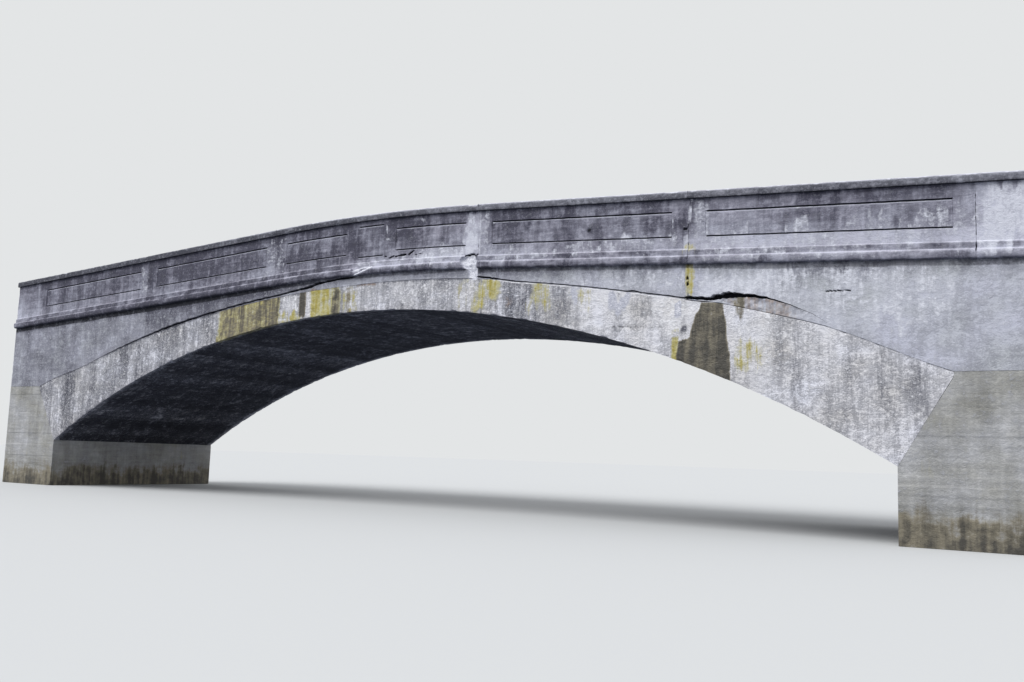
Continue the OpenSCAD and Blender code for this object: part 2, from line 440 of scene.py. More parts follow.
# Stains on the front of each part, in metres along the bridge and above the floor
PARAPET_PATCHES = (
    Patch(Mark.LICHEN, (7.19, 7.36), (4.74, 4.96), 0.36, soft=0.05),
    Patch(Mark.SOOT, (6.43, 6.78), (5.36, 5.45), 0.62, soft=0.05, ragged=0.06),
    Patch(Mark.SOOT, (1.75, 2.62), (4.80, 5.04), -0.45, soft=0.05, ragged=0.04),
    Patch(Mark.SOOT, (0.66, 1.12), (5.68, 5.84), 0.42, ragged=0.06),
    Patch(Mark.SOOT, (1.60, 2.40), (5.50, 5.84), -0.15),
    Patch(Mark.SOOT, (-0.45, 2.40), (5.06, 5.20), -0.34, soft=0.03, ragged=0.03),
    Patch(Mark.SOOT, (-0.10, 2.00), (4.92, 5.03), 0.30, soft=0.03, ragged=0.03),
    Patch(Mark.SOOT, (5.24, 5.32), (5.37, 5.45), 0.60, soft=0.03, ragged=0.02),
    Patch(Mark.SOOT, (7.07, 7.18), (5.33, 5.42), 0.75, soft=0.03, ragged=0.02),
    Patch(Mark.SOOT, (6.92, 7.24), (5.56, 5.94), -0.30, soft=0.04, ragged=0.04),
    Patch(Mark.SOOT, (-0.60, 0.42), (5.25, 5.92), 0.24),
    Patch(Mark.SOOT, (3.10, 4.90), (5.68, 5.90), 0.30, ragged=0.10),
    Patch(Mark.SOOT, (-2.60, -0.90), (5.00, 5.60), 0.20, ragged=0.15),
    Patch(Mark.SOOT, (-7.2, -3.0), (4.7, 5.9), 0.10, ragged=0.2),
    # Light, washed or mended places beside the joints
    Patch(Mark.PALE, (2.44, 2.80), (5.15, 5.62), 0.86, soft=0.09, ragged=0.08),
    Patch(Mark.PALE, (2.48, 2.80), (5.60, 5.98), 0.70, soft=0.09, ragged=0.08),
    Patch(Mark.SOOT, (2.44, 2.80), (5.15, 5.98), -0.45, soft=0.08, ragged=0.08),
    Patch(Mark.PALE, (2.82, 3.06), (5.10, 5.98), 0.34),
    Patch(Mark.PALE, (7.225, 7.285), (5.38, 5.66), 0.75, soft=0.02, ragged=0.03),
    Patch(Mark.PALE, (6.935, 6.965), (5.24, 5.56), 0.45, soft=0.015, ragged=0.02),
    Patch(Mark.PALE, (7.34, 7.60), (5.00, 5.76), 0.35),
    Patch(Mark.PALE, (7.24, 7.32), (5.70, 5.98), 0.30, soft=0.03, ragged=0.05),
    Patch(Mark.PALE, (7.17, 7.26), (4.84, 5.20), 0.62, soft=0.03, ragged=0.05),
    Patch(Mark.PALE, (-2.79, -2.46), (5.10, 5.98), 0.24),
    Patch(Mark.PALE, (-3.14, -2.81), (5.10, 5.98), 0.30),
    Patch(Mark.PALE, (-7.60, -7.28), (4.85, 5.74), 0.24),
    Patch(Mark.PALE, (1.30, 2.50), (5.05, 5.40), 0.58),
    Patch(Mark.PALE, (-0.30, 1.40), (5.12, 5.26), 0.36, soft=0.04, ragged=0.06),
    Patch(Mark.PALE, (1.22, 1.42), (5.97, 6.03), 0.50, soft=0.02, ragged=0.05),
    Patch(Mark.PALE, (0.40, 0.45), (5.82, 5.97), 0.66, soft=0.02, ragged=0.04),
    Patch(Mark.PALE, (0.40, 0.58), (5.63, 5.68), 0.46, soft=0.03, ragged=0.05),
    Patch(Mark.PALE, (1.02, 1.60), (5.18, 5.32), 0.40, ragged=0.08),
    Patch(Mark.PALE, (3.0, 7.0), (4.98, 5.16), 0.45, ragged=0.10),
    Patch(Mark.PALE, (7.5, 12.0), (4.60, 5.10), 0.36, ragged=0.2),
    Patch(Mark.PALE, (11.9, 12.8), (4.60, 5.50), 0.85, ragged=0.2),
)

SPANDREL_PATCHES = (
    Patch(Mark.LICHEN, (7.22, 7.36), (4.06, 4.60), 0.55, soft=0.03, ragged=0.04),
    Patch(Mark.DAMP, (8.06, 8.28), (3.70, 4.02), 0.62, soft=0.04, ragged=0.04),
    Patch(Mark.DAMP, (7.20, 7.80), (3.86, 4.02), 0.18, soft=0.05),
    Patch(Mark.SOOT, (3.0, 6.9), (4.50, 4.95), 0.10, ragged=0.2),
    Patch(Mark.SOOT, (-7.2, -2.9), (4.2, 5.0), 0.22, ragged=0.2),
    Patch(Mark.SOOT, (9.2, 10.6), (4.20, 4.45), 0.25, ragged=0.12),
    Patch(Mark.PALE, (4.2, 7.2), (4.10, 4.56), 0.34, ragged=0.15),
    Patch(Mark.PALE, (7.4, 11.5), (3.40, 4.50), 0.42, ragged=0.2),
    Patch(Mark.PALE, (7.45, 8.70), (3.98, 4.34), 0.66, ragged=0.12),
    Patch(Mark.SOOT, (8.60, 11.2), (4.24, 4.60), 0.20, ragged=0.16),
    Patch(Mark.RUST, (-1.66, -1.50), (4.62, 4.72), 0.55, soft=0.03, ragged=0.03),
)

RING_PATCHES = (
    # Ochre and yellow stains below the joints
    Patch(Mark.LICHEN, (-1.66, -1.10), (4.05, 4.90), 0.85, ragged=0.08),
    Patch(Mark.LICHEN, (-1.10, -0.84), (4.15, 4.90), 0.60),
    Patch(Mark.LICHEN, (-0.72, -0.30), (4.10, 4.66), 0.32),
    Patch(Mark.LICHEN, (-4.60, -2.62), (3.40, 4.90), 1.15, ragged=0.10),
    Patch(Mark.LICHEN, (-2.60, -1.95), (3.72, 4.22), 0.60, ragged=0.10),
    Patch(Mark.LICHEN, (2.58, 3.34), (4.20, 4.62), 0.45, ragged=0.12),
    Patch(Mark.LICHEN, (2.60, 2.98), (3.98, 4.40), 0.46, ragged=0.12),
    Patch(Mark.LICHEN, (2.30, 2.55), (4.15, 4.60), 0.20, ragged=0.12),
    Patch(Mark.LICHEN, (4.00, 4.44), (3.98, 4.60), 0.34, ragged=0.14),
    Patch(Mark.LICHEN, (4.9, 5.3), (3.9, 4.3), 0.28, ragged=0.15),
    Patch(Mark.LICHEN, (6.965, 7.065), (2.90, 3.32), 1.30, soft=0.02, ragged=0.02),
    Patch(Mark.LICHEN, (6.97, 7.06), (3.40, 3.48), 0.40, soft=0.03, ragged=0.03),
    Patch(Mark.LICHEN, (8.10, 8.60), (2.70, 3.22), 0.36),
    # Rust-brown runs
    Patch(Mark.RUST, (-0.34, 0.20), (4.67, 4.74), 0.60, soft=0.02, ragged=0.03),
    Patch(Mark.RUST, (7.86, 8.00), (2.55, 3.30), 0.60, soft=0.04),
    Patch(Mark.RUST, (3.2, 3.9), (4.0, 4.35), 0.30, ragged=0.12),
    Patch(Mark.RUST, (-1.98, -1.84), (4.25, 4.74), 0.45, soft=0.03),
    Patch(Mark.RUST, (-4.6, -2.6), (3.4, 4.6), 0.62, ragged=0.15),
    # Wet, dark places
    Run(
        Mark.DAMP,
        (2.20, 3.00, 3.16, 3.25, 3.29, 3.31, 3.44, 3.59, 3.73, 3.80, 3.91),
        (7.04, 7.05, 7.07, 7.09, 7.23, 7.29, 7.31, 7.34, 7.39, 7.46, 7.50),
        (8.00, 8.00, 7.98, 7.97, 7.965, 7.96, 7.945, 7.93, 7.92, 7.91, 7.87),
        soft=0.025,
        ragged=0.035,
    ),
    Patch(Mark.SOOT, (7.11, 7.23), (3.41, 3.49), 1.15, soft=0.04, ragged=0.03),
    Patch(Mark.SOOT, (7.12, 7.20), (3.55, 3.85), 0.14, soft=0.03, ragged=0.03),
    Patch(Mark.DAMP, (8.10, 8.26), (3.64, 3.84), 0.48, soft=0.05, ragged=0.06),
    Patch(Mark.DAMP, (-2.00, -1.82), (4.14, 4.74), 1.00, soft=0.03, ragged=0.03),
    Patch(Mark.DAMP, (-1.04, -0.84), (4.05, 4.70), 0.48, soft=0.05, ragged=0.05),
    Patch(Mark.DAMP, (-0.62, -0.52), (4.02, 4.72), 0.44, soft=0.03, ragged=0.03),
    Patch(Mark.DAMP, (-4.60, -2.60), (3.40, 4.60), 0.46, ragged=0.15),
    # Soot and washed places
    Patch(Mark.SOOT, (3.35, 4.00), (3.85, 4.60), 0.25, ragged=0.14),
    Patch(Mark.SOOT, (4.50, 4.90), (3.80, 4.45), 0.22, ragged=0.14),
    Patch(Mark.SOOT, (5.80, 5.92), (3.40, 3.90), 0.20, soft=0.05, ragged=0.06),
    Patch(Mark.SOOT, (6.38, 6.58), (3.62, 4.05), 0.34, soft=0.05, ragged=0.08),
    Patch(Mark.SOOT, (6.60, 6.76), (3.50, 3.80), 0.26, soft=0.05, ragged=0.08),
    Patch(Mark.SOOT, (5.6, 6.9), (3.50, 3.56), 0.20, soft=0.02, ragged=0.03),
    Patch(Mark.RAW, (6.99, 7.12), (3.72, 3.98), 0.90, soft=0.03, ragged=0.05),
    Patch(Mark.RAW, (5.68, 6.16), (3.80, 4.14), 0.62, ragged=0.12),
    Patch(Mark.RAW, (4.90, 5.12), (3.90, 4.22), 0.50, ragged=0.12),
    Patch(Mark.PALE, (-2.55, -2.03), (4.24, 4.60), 0.42, soft=0.05),
    Patch(Mark.PALE, (-1.82, -1.62), (4.08, 4.74), 0.60, soft=0.03, ragged=0.03),
    Patch(Mark.PALE, (5.20, 6.10), (3.86, 4.30), 0.42, ragged=0.2),
    Patch(Mark.PALE, (6.62, 7.06), (3.40, 4.10), 0.55, ragged=0.08),
    Patch(Mark.PALE, (7.04, 7.50), (3.60, 4.02), 0.50, ragged=0.1),
    Patch(Mark.PALE, (0.60, 1.90), (4.30, 4.70), 0.30, ragged=0.2),
    Patch(Mark.PALE, (7.98, 8.80), (2.60, 3.90), 0.25, ragged=0.1),
)

FRONT_SPALLS = (
    Spall(2.64, 4.99, (0.23, 0.18), 0.034, until=2.8),
    Spall(2.71, 4.79, (0.17, 0.17), 0.034, until=2.8),
    Spall(7.235, 4.36, (0.025, 0.035), 0.050, Mark.SHADE_AND_CRUST),
    Spall(7.240, 4.26, (0.022, 0.025), 0.050, Mark.SHADE_AND_CRUST),
    Spall(5.28, 5.41, (0.030, 0.026), 0.020, Mark.SHADE_AND_CRUST),
)

FRONT_CRACKS = (
    Crack(((0.40, 5.297), (0.44, 5.293)), 0.018, 0.035),
    Crack(((0.53, 5.260), (0.65, 5.296)), 0.018, 0.040),
    Crack(((0.69, 5.280), (0.80, 5.290)), 0.016, 0.040),
    Crack(((0.83, 5.290), (0.96, 5.298)), 0.026, 0.050),
    Crack(((1.05, 5.296), (1.17, 5.362)), 0.022, 0.045),
    Crack(((1.21, 5.276), (1.26, 5.280)), 0.009, 0.030),
    Crack(((1.31, 5.284), (1.40, 5.290)), 0.009, 0.030),
    Crack(((2.49, 5.145), (2.63, 5.165), (2.69, 5.16), (2.74, 5.12), (2.79, 5.155)), 0.018, 0.060),
    Crack(((2.04, 4.945), (2.16, 4.97), (2.29, 5.01)), 0.010, 0.008),
    Crack(((7.165, 5.245), (7.20, 5.250), (7.235, 5.265)), 0.016, 0.050),
    Crack(((9.62, 3.98), (9.85, 3.99), (10.05, 3.965)), 0.012, 0.030),
    Crack(((5.80, 3.565), (6.20, 3.55), (6.60, 3.53), (6.86, 3.505)), 0.010, 0.010),
)

# Sag of the ring's line on the front below its circle: places along the bridge, sags
FRONT_SAG = (
    (2.74, 2.90, 3.10, 3.38, 3.66, 4.70, 6.05, 6.20, 6.55, 6.85, 7.25, 7.50, 7.65),
    (0.000, 0.008, 0.008, 0.022, 0.046, 0.054, 0.060, 0.050, 0.046, 0.036, 0.030, 0.014, 0.000),
)

# Open crack along the ring on the front: place, height over the ring's line, width, depth
OPEN_CRACK = (
    (-9.50, 0.008, 0.000, 0.000), (-8.60, 0.008, 0.020, 0.060), (-6.40, 0.010, 0.060, 0.120),
    (-5.40, 0.012, 0.056, 0.120), (-4.70, 0.014, 0.046, 0.120), (-2.60, 0.030, 0.042, 0.120),
    (-2.00, 0.060, 0.052, 0.120), (-1.68, 0.070, 0.074, 0.130), (-1.50, 0.110, 0.064, 0.120),
    (-1.26, 0.140, 0.048, 0.120), (-0.90, 0.155, 0.042, 0.120), (-0.56, 0.165, 0.046, 0.120),
    (-0.44, 0.170, 0.030, 0.080), (-0.36, 0.160, 0.002, 0.000), (-0.34, 0.010, 0.004, 0.020),
    (2.55, 0.010, 0.008, 0.020), (2.66, 0.012, 0.002, 0.010), (2.76, 0.050, 0.000, 0.000),
    (2.80, 0.040, 0.030, 0.080), (2.95, 0.020, 0.040, 0.100), (3.15, 0.010, 0.036, 0.100),
    (3.34, 0.010, 0.024, 0.090), (3.80, 0.008, 0.018, 0.080), (5.50, 0.008, 0.018, 0.080),
    (6.05, 0.008, 0.020, 0.080), (6.12, 0.010, 0.028, 0.080), (6.25, 0.014, 0.028, 0.090),
    (6.36, 0.008, 0.018, 0.080), (7.17, 0.008, 0.022, 0.100), (7.26, 0.008, 0.058, 0.140),
    (7.47, 0.008, 0.062, 0.180), (7.61, 0.014, 0.070, 0.200), (7.75, 0.046, 0.096, 0.200),
    (7.89, 0.096, 0.096, 0.200), (7.96, 0.106, 0.110, 0.200), (8.03, 0.128, 0.096, 0.200),
    (8.16, 0.166, 0.074, 0.180), (8.29, 0.196, 0.062, 0.180), (8.43, 0.218, 0.060, 0.160),
    (8.56, 0.224, 0.046, 0.140), (8.68, 0.238, 0.028, 0.100), (9.00, 0.220, 0.012, 0.050),
    (9.40, 0.150, 0.005, 0.020), (9.80, 0.008, 0.000, 0.000),
)

# Fractures of the round string course on the front: places along the bridge, drops below the coping's top
FRACTURE = ((-0.46, 0.10), (1.336, 1.168))
FRACTURE_RIDGE = ((-0.46, -0.12), (1.225, 1.158))
FRACTURE_BAY = (-0.462, 0.11)

# Share of the round string course that is left on the front: places along the bridge, shares
ROLL_WEAR = (
    (1.55, 2.05, 2.30, 2.45, 2.60, 2.798, 2.802, 2.86, 2.94, 7.10, 7.15, 7.246, 7.254, 7.30),
    (1.0, 0.95, 0.78, 0.45, 0.12, 0.04, 0.75, 0.85, 1.0, 1.0, 0.62, 0.55, 0.92, 1.0),
)

# Soot of the parapets and of the copings' outer face, with painted shade and highlights in it: drops below
# the coping's top, amounts
# On the parapets: painted shadow under the coping, painted highlights on the plinth's chamfer and the round
# string course's top
PARAPET_SOOT_SHADE_HIGHLIGHT = (
    (0.14, 0.17, 0.34, 0.38, 0.60, 0.79, 0.84, 0.92, 1.028, 1.036, 1.054, 1.068, 1.15, 1.160, 1.180, 1.196),
    (1.0, 0.90, 0.88, 0.74, 0.78, 0.70, 0.60, 0.58, 0.50, 0.32, 0.32, 0.74, 0.72, 0.28, 0.30, 0.70),
)
# On the copings: a painted highlight on the top arris, painted shade at the foot
COPING_SOOT_SHADE_HIGHLIGHT = ((0, 0.008, 0.030, 0.05, 0.11, 0.128), (0.20, 0.28, 0.60, 0.80, 0.84, 0.95))

# Soot of the ring's front face: places along the bridge, amounts
RING_SOOT = (
    (-9.0, -2.0, -0.5, 1.0, 2.3, 2.9, 4.3, 4.8, 5.3, 7.0, 8.0, 11.0),
    (0.62, 0.62, 0.52, 0.55, 0.44, 0.50, 0.49, 0.34, 0.15, 0.13, 0.25, 0.38),
)

# Soot of the faces that the front doesn't show
HIDDEN_SOOT = 0.45


# Lines of the bridge


@dataclass(frozen=True)
class RoadLine:
    """Top line of the coping: a crest curve over the centre bay that runs into a straight grade."""

    top: float
    joint: float
    grade: float = math.atan(0.0567)

    @property
    def radius(self) -> float:
        """Radius of the crest curve, tangent to the grade at the joint."""
        return self.joint / math.sin(self.grade)

    def height(self, x: Grid, drop: Grid) -> Grid:
        """Offset of the line: sqrt((R - drop)^2 - x^2) on the crest, ((R - drop) - |x| sin g) / cos g beyond.

        Args:
            x: Places along the bridge.
            drop: Distance below the coping's top, square to the line.

        Returns:
            Heights above the floor.
        """
        run, left = np.abs(x), self.radius - drop
        crest = np.sqrt(np.maximum(left**2 - np.minimum(run, self.joint) ** 2, 0))
        straight = (left - run * math.sin(self.grade)) / math.cos(self.grade)
        return self.top - self.radius + np.where(run <= self.joint, crest, straight)


@dataclass(frozen=True)
class ArchLines:
    """The two circles of the arch: the soffit and the flatter back, whose front line sits a little askew."""

    half_span: float
    springing: float
    shoulder: float
    back_crown: float
    soffit_radius: float = 20.76
    back_radius: float = 32.57
    front_shift: float = 0.40

    @property
    def skew(self) -> float:
        """Half the angle of the soffit."""
        return math.asin(self.half_span / self.soffit_radius)

    def soffit(self, angle: Grid) -> tuple[Grid, Grid]:
        """Point of the soffit's circle at an angle from the crown: (R sin a, z0 + R cos a).

        Args:
            angle: Angles from the crown, in radians.

        Returns:
            Places along the bridge and heights.
        """
        rise = self.springing - self.soffit_radius * math.cos(self.skew)
        return self.soffit_radius * np.sin(angle), rise + self.soffit_radius * np.cos(angle)

    def back(self, x: Grid, askew: float = 0.0) -> Grid:
        """Height of the back: z1 + sqrt(R^2 - (x - s)^2), less the sag of the front line.

        The shift s fades out towards the abutments.

        Args:
            x: Places along the bridge.
            askew: Share of the front line's shift and sag that applies here.

        Returns:
            Heights above the floor, level past the shoulder.
        """
        x = np.clip(x, -self.shoulder, self.shoulder)
        shift = askew * self.front_shift * smooth(11.3, 9.4, np.abs(x))
        sag = askew * np.interp(x, *FRONT_SAG)
        bow = np.sqrt(self.back_radius**2 - (x - shift) ** 2)
        return self.back_crown - self.back_radius + bow - sag


@dataclass(frozen=True)
class Bay:
    """One stretch of wall between joints: its name in the frame and where it starts and stops."""

    name: str
    start: float
    stop: float
    wall_start: float
    wall_stop: float


# Meshes


@dataclass
class Skin:
    """A closed surface: a closed section of points carried along stations, with one flat face at each end."""

    points: Grid
    marks: dict[Mark, Grid] = field(default_factory=dict)

    def faces(self) -> tuple[Grid, Grid]:
        """Quads between neighbouring stations and neighbouring points of the section, turned outwards.

        Returns:
            The quads, and the points' numbers station by station in the order that faces outwards at the end.
        """
        count, around, _ = self.points.shape
        index = np.arange(count * around).reshape(count, around)
        ahead = np.roll(index, -1, axis=1)
        quads = np.stack([index[:-1], index[1:], ahead[1:], ahead[:-1]], axis=-1).reshape(-1, 4)
        flat = self.points.reshape(-1, 3) - self.points.reshape(-1, 3).mean(axis=0)
        a, b, c, d = (flat[quads[:, i]] for i in range(4))
        volume = sum(np.einsum("ij,ij->i", a, np.cross(p, q)).sum() for p, q in ((b, c), (c, d)))
        for ring, sign in ((index[0], -1), (index[-1], 1)):
            fan = flat[ring]
            volume += sign * -np.cross(fan, np.roll(fan, -1, axis=0)).dot(fan.mean(axis=0)).sum()
        if volume < 0:
            return quads[:, ::-1], index
        return quads, index[:, ::-1]

    def piece(self, name: str, material: Material) -> Object:
        """Makes the mesh object, with its masks, and shades it smooth between sharp edges.

        Args:
            name: The piece's name.
            material: Its finish.

        Returns:
            The object, at the origin.
        """
        low, high = (np.array(corner) for corner in CAD_BOX)
        flat = np.clip(self.points.reshape(-1, 3), low, high)
        quads, rings = self.faces()
        faces = quads.tolist() + [rings[-1].tolist(), rings[0][::-1].tolist()]
        mesh = bpy.data.meshes.new(name)
        mesh.from_pydata(flat.tolist(), [], faces)
        for mark, values in self.marks.items():
            store = mesh.attributes.new(mark.value, "FLOAT", "POINT")
            store.data.foreach_set("value", np.clip(values, 0, 1).astype(np.float32).ravel())
        mesh.polygons.foreach_set("use_smooth", np.ones(len(mesh.polygons), bool))
        mesh.set_sharp_from_angle(angle=SHARP_ANGLE)
        mesh.materials.append(material)
        mesh.update()
        made = bpy.data.objects.new(name, mesh)
        bpy.context.scene.collection.objects.link(made)
        return made


def weather(x: Grid, z: Grid, patches: tuple[Patch | Run, ...], soot: Grid) -> dict[Mark, Grid]:
    """Masks at every point of a surface: its own patches over a general soot.

    Args:
        x: Places along the bridge.
        z: Heights above the floor.
        patches: The surface's patches, none where it isn't on the front.
        soot: General soot of the surface.

    Returns:
        One mask for each kind of weathering.
    """
    marks = {mark: np.zeros(x.shape) for mark in Mark}
    marks[Mark.SOOT] = np.array(np.broadcast_to(soot, x.shape), float)
    if not patches:
        return marks
    shift = rough(x, z, 0.16, Seed.PATCH_ALONG, tall=2.5), rough(x, z, 0.10, Seed.PATCH_UP, tall=4.0)
    for patch in patches:
        if patch.x[1] < x.min() - PATCH_REACH or patch.x[0] > x.max() + PATCH_REACH:
            continue
        cover = patch.cover(x, z, shift)
        if patch.mark is Mark.SOOT:
            marks[Mark.SOOT] = marks[Mark.SOOT] + cover
        else:
            marks[patch.mark] = np.maximum(marks[patch.mark], cover)
    return marks


def broken(x: Grid, z: Grid, side: Side) -> tuple[Grid, dict[Mark, Grid]]:
    """Depth lost to the front's spalls and cracks.

    Args:
        x: Places along the bridge.
        z: Heights above the floor.
        side: Face of the bridge; the back is whole.

    Returns:
        The depth lost, and the masks of raw concrete and of black cracks and holes.
    """
    lost = np.zeros(x.shape)
    marks = {Mark.RAW: np.zeros(x.shape), Mark.SHADE_AND_CRUST: np.zeros(x.shape)}
    if side is Side.BACK:
        return lost, marks
    for spall in FRONT_SPALLS:
        depth, inside = spall.hollow(x, z)
        lost, marks[spall.mark] = np.maximum(lost, depth), np.maximum(marks[spall.mark], inside)
    # Cracks are painted dark as shade, black once deeper than BLACK_DEPTH
    for crack in FRONT_CRACKS:
        depth = crack.groove(x, z)
        dark = smooth(0.0, crack.depth * 0.6, depth) * min(1.0, crack.depth / BLACK_DEPTH)
        lost, marks[Mark.SHADE_AND_CRUST] = np.maximum(lost, depth), np.maximum(marks[Mark.SHADE_AND_CRUST], dark)
    return lost, marks


# Finishes

# Sockets of a colour mix node: the colour under, the colour over and the result
MIX_UNDER = 6
MIX_OVER = 7
MIX_RESULT = 2


def fresh_tree(owner: Material | World) -> NodeTree:
    """Switches a material or a world to nodes and empties its tree.

    Args:
        owner: The material or world.

    Returns:
        The emptied tree.
    """
    owner.use_nodes = True
    owner.node_tree.nodes.clear()
    return owner.node_tree


def add(tree: NodeTree, kind: str, feeds: dict[str | int, object] | None = None, **settings: object) -> Node:
    """Adds a node, sets its properties, and feeds its sockets with links or plain values.

    Args:
        tree: The node tree.
        kind: The node's type.
        feeds: Socket names or numbers, each with a socket to link from or a value.
        **settings: Properties of the node.

    Returns:
        The node.
    """
    node = tree.nodes.new(kind)
    for name, value in settings.items():
        setattr(node, name, value)
    for key, value in (feeds or {}).items():
        if isinstance(value, NodeSocket):
            tree.links.new(value, node.inputs[key])
        else:
            node.inputs[key].default_value = value
    return node


def ramp(tree: NodeTree, value: NodeSocket, low: float, high: float, top: float = 1.0) -> NodeSocket:
    """Straight ramp from 0 at low to the top value at high.

    Args:
        tree: The node tree.
        value: What the ramp reads.
        low: Where it starts.
        high: Where it ends.
        top: What it reaches.

    Returns:
        The ramp's output socket.
    """
    feeds = {"Value": value, "From Min": low, "From Max": high, "To Max": top}
    return add(tree, "ShaderNodeMapRange", feeds).outputs[0]


def mix(tree: NodeTree, cover: NodeSocket, under: Colour, over: Colour) -> NodeSocket:
    """Lays one colour over another where a cover says.

    Args:
        tree: The node tree.
        cover: How far the upper colour covers, from 0 to 1.
        under: The colour so far.
        over: The colour laid over it.

    Returns:
        The mixed colour's socket.
    """
    feeds = {0: cover, MIX_UNDER: under, MIX_OVER: over}
    return add(tree, "ShaderNodeMix", feeds, data_type="RGBA").outputs[MIX_RESULT]


@dataclass(frozen=True)
class Grain:
    """One noise pattern of a surface: its cell in millimetres along, across and up, and its detail."""

    cell: tuple[float, float, float]
    detail: float = 3.0
    roughness: float = 0.6
    offset: float = 0.0


@dataclass(frozen=True)
class Layer:
    """A colour laid over the concrete, a stain or the painted shade, where its mask, broken up by some of the
    grains, passes a limit.
    """

    mark: Mark
    colour: str
    weights: dict[str, float]
    low: float
    high: float


GRAINS = {
    "cloud": Grain((1300, 1300, 900), 3.0),
    "band": Grain((380, 380, 1900), 3.0, 0.6, 4.4),
    "streak": Grain((90, 90, 1000), 4.0, 0.65, 3.1),
    "run": Grain((30, 30, 380), 3.0, 0.6, 5.7),
    "board": Grain((1000, 1000, 60), 3.0, 0.6, 7.9),
    "blotch": Grain((210, 210, 160), 5.0, 0.68, 9.2),
    "mottle": Grain((78, 78, 62), 4.0, 0.7, 15.5),
    "speck": Grain((27, 27, 23), 3.0, 0.7, 12.4),
    "grit": Grain((9, 9, 9), 2.0, 0.6, 1.9),
}

# Depth in metres that each grain gives the skin: lumps, pits, air holes and sand
RELIEF = {"blotch": 0.028, "mottle": 0.018, "speck": 0.008, "grit": 0.003}

# How much each grain adds to the flecks of lime
FLECKS = {"mottle": 2.2, "blotch": 1.6, "speck": 1.0, "streak": 0.6}

STAIN_AND_SHADE_LAYERS = (
    Layer(Mark.PALE, "#d3d5df", {"streak": 1.6, "blotch": 1.8, "mottle": 2.0}, 0.20, 0.90),
    Layer(Mark.RUST, "#856d58", {"streak": 1.4, "blotch": 1.2}, 0.30, 0.90),
    Layer(Mark.LICHEN, "#c6c194", {"band": 1.2, "streak": 2.0, "blotch": 1.8, "run": 0.8}, 0.10, 0.75),
    Layer(Mark.LICHEN, "#ab9e50", {"streak": 3.0, "blotch": 2.4, "mottle": 1.8, "run": 1.4}, 0.45, 1.30),
    Layer(Mark.DAMP, "#857e6c", {"streak": 1.0, "blotch": 1.6}, 0.10, 0.60),
    Layer(Mark.DAMP, "#4a4740", {"band": 1.6, "streak": 1.7, "blotch": 1.6}, 0.42, 1.05),
    Layer(Mark.RAW, "#bcbeca", {"mottle": 0.8}, 0.15, 0.50),
    Layer(Mark.RAW, "#e8e9f0", {"mottle": 2.4, "speck": 3.0}, 0.50, 1.20),
    # Painted shade, near black: cracks, holes, grooves, under the string course and coping, soffit; partly a
    # dark crust
    Layer(Mark.SHADE_AND_CRUST, "#1a1c25", {"blotch": 0.9, "mottle": 0.7}, 0.12, 0.85),
)


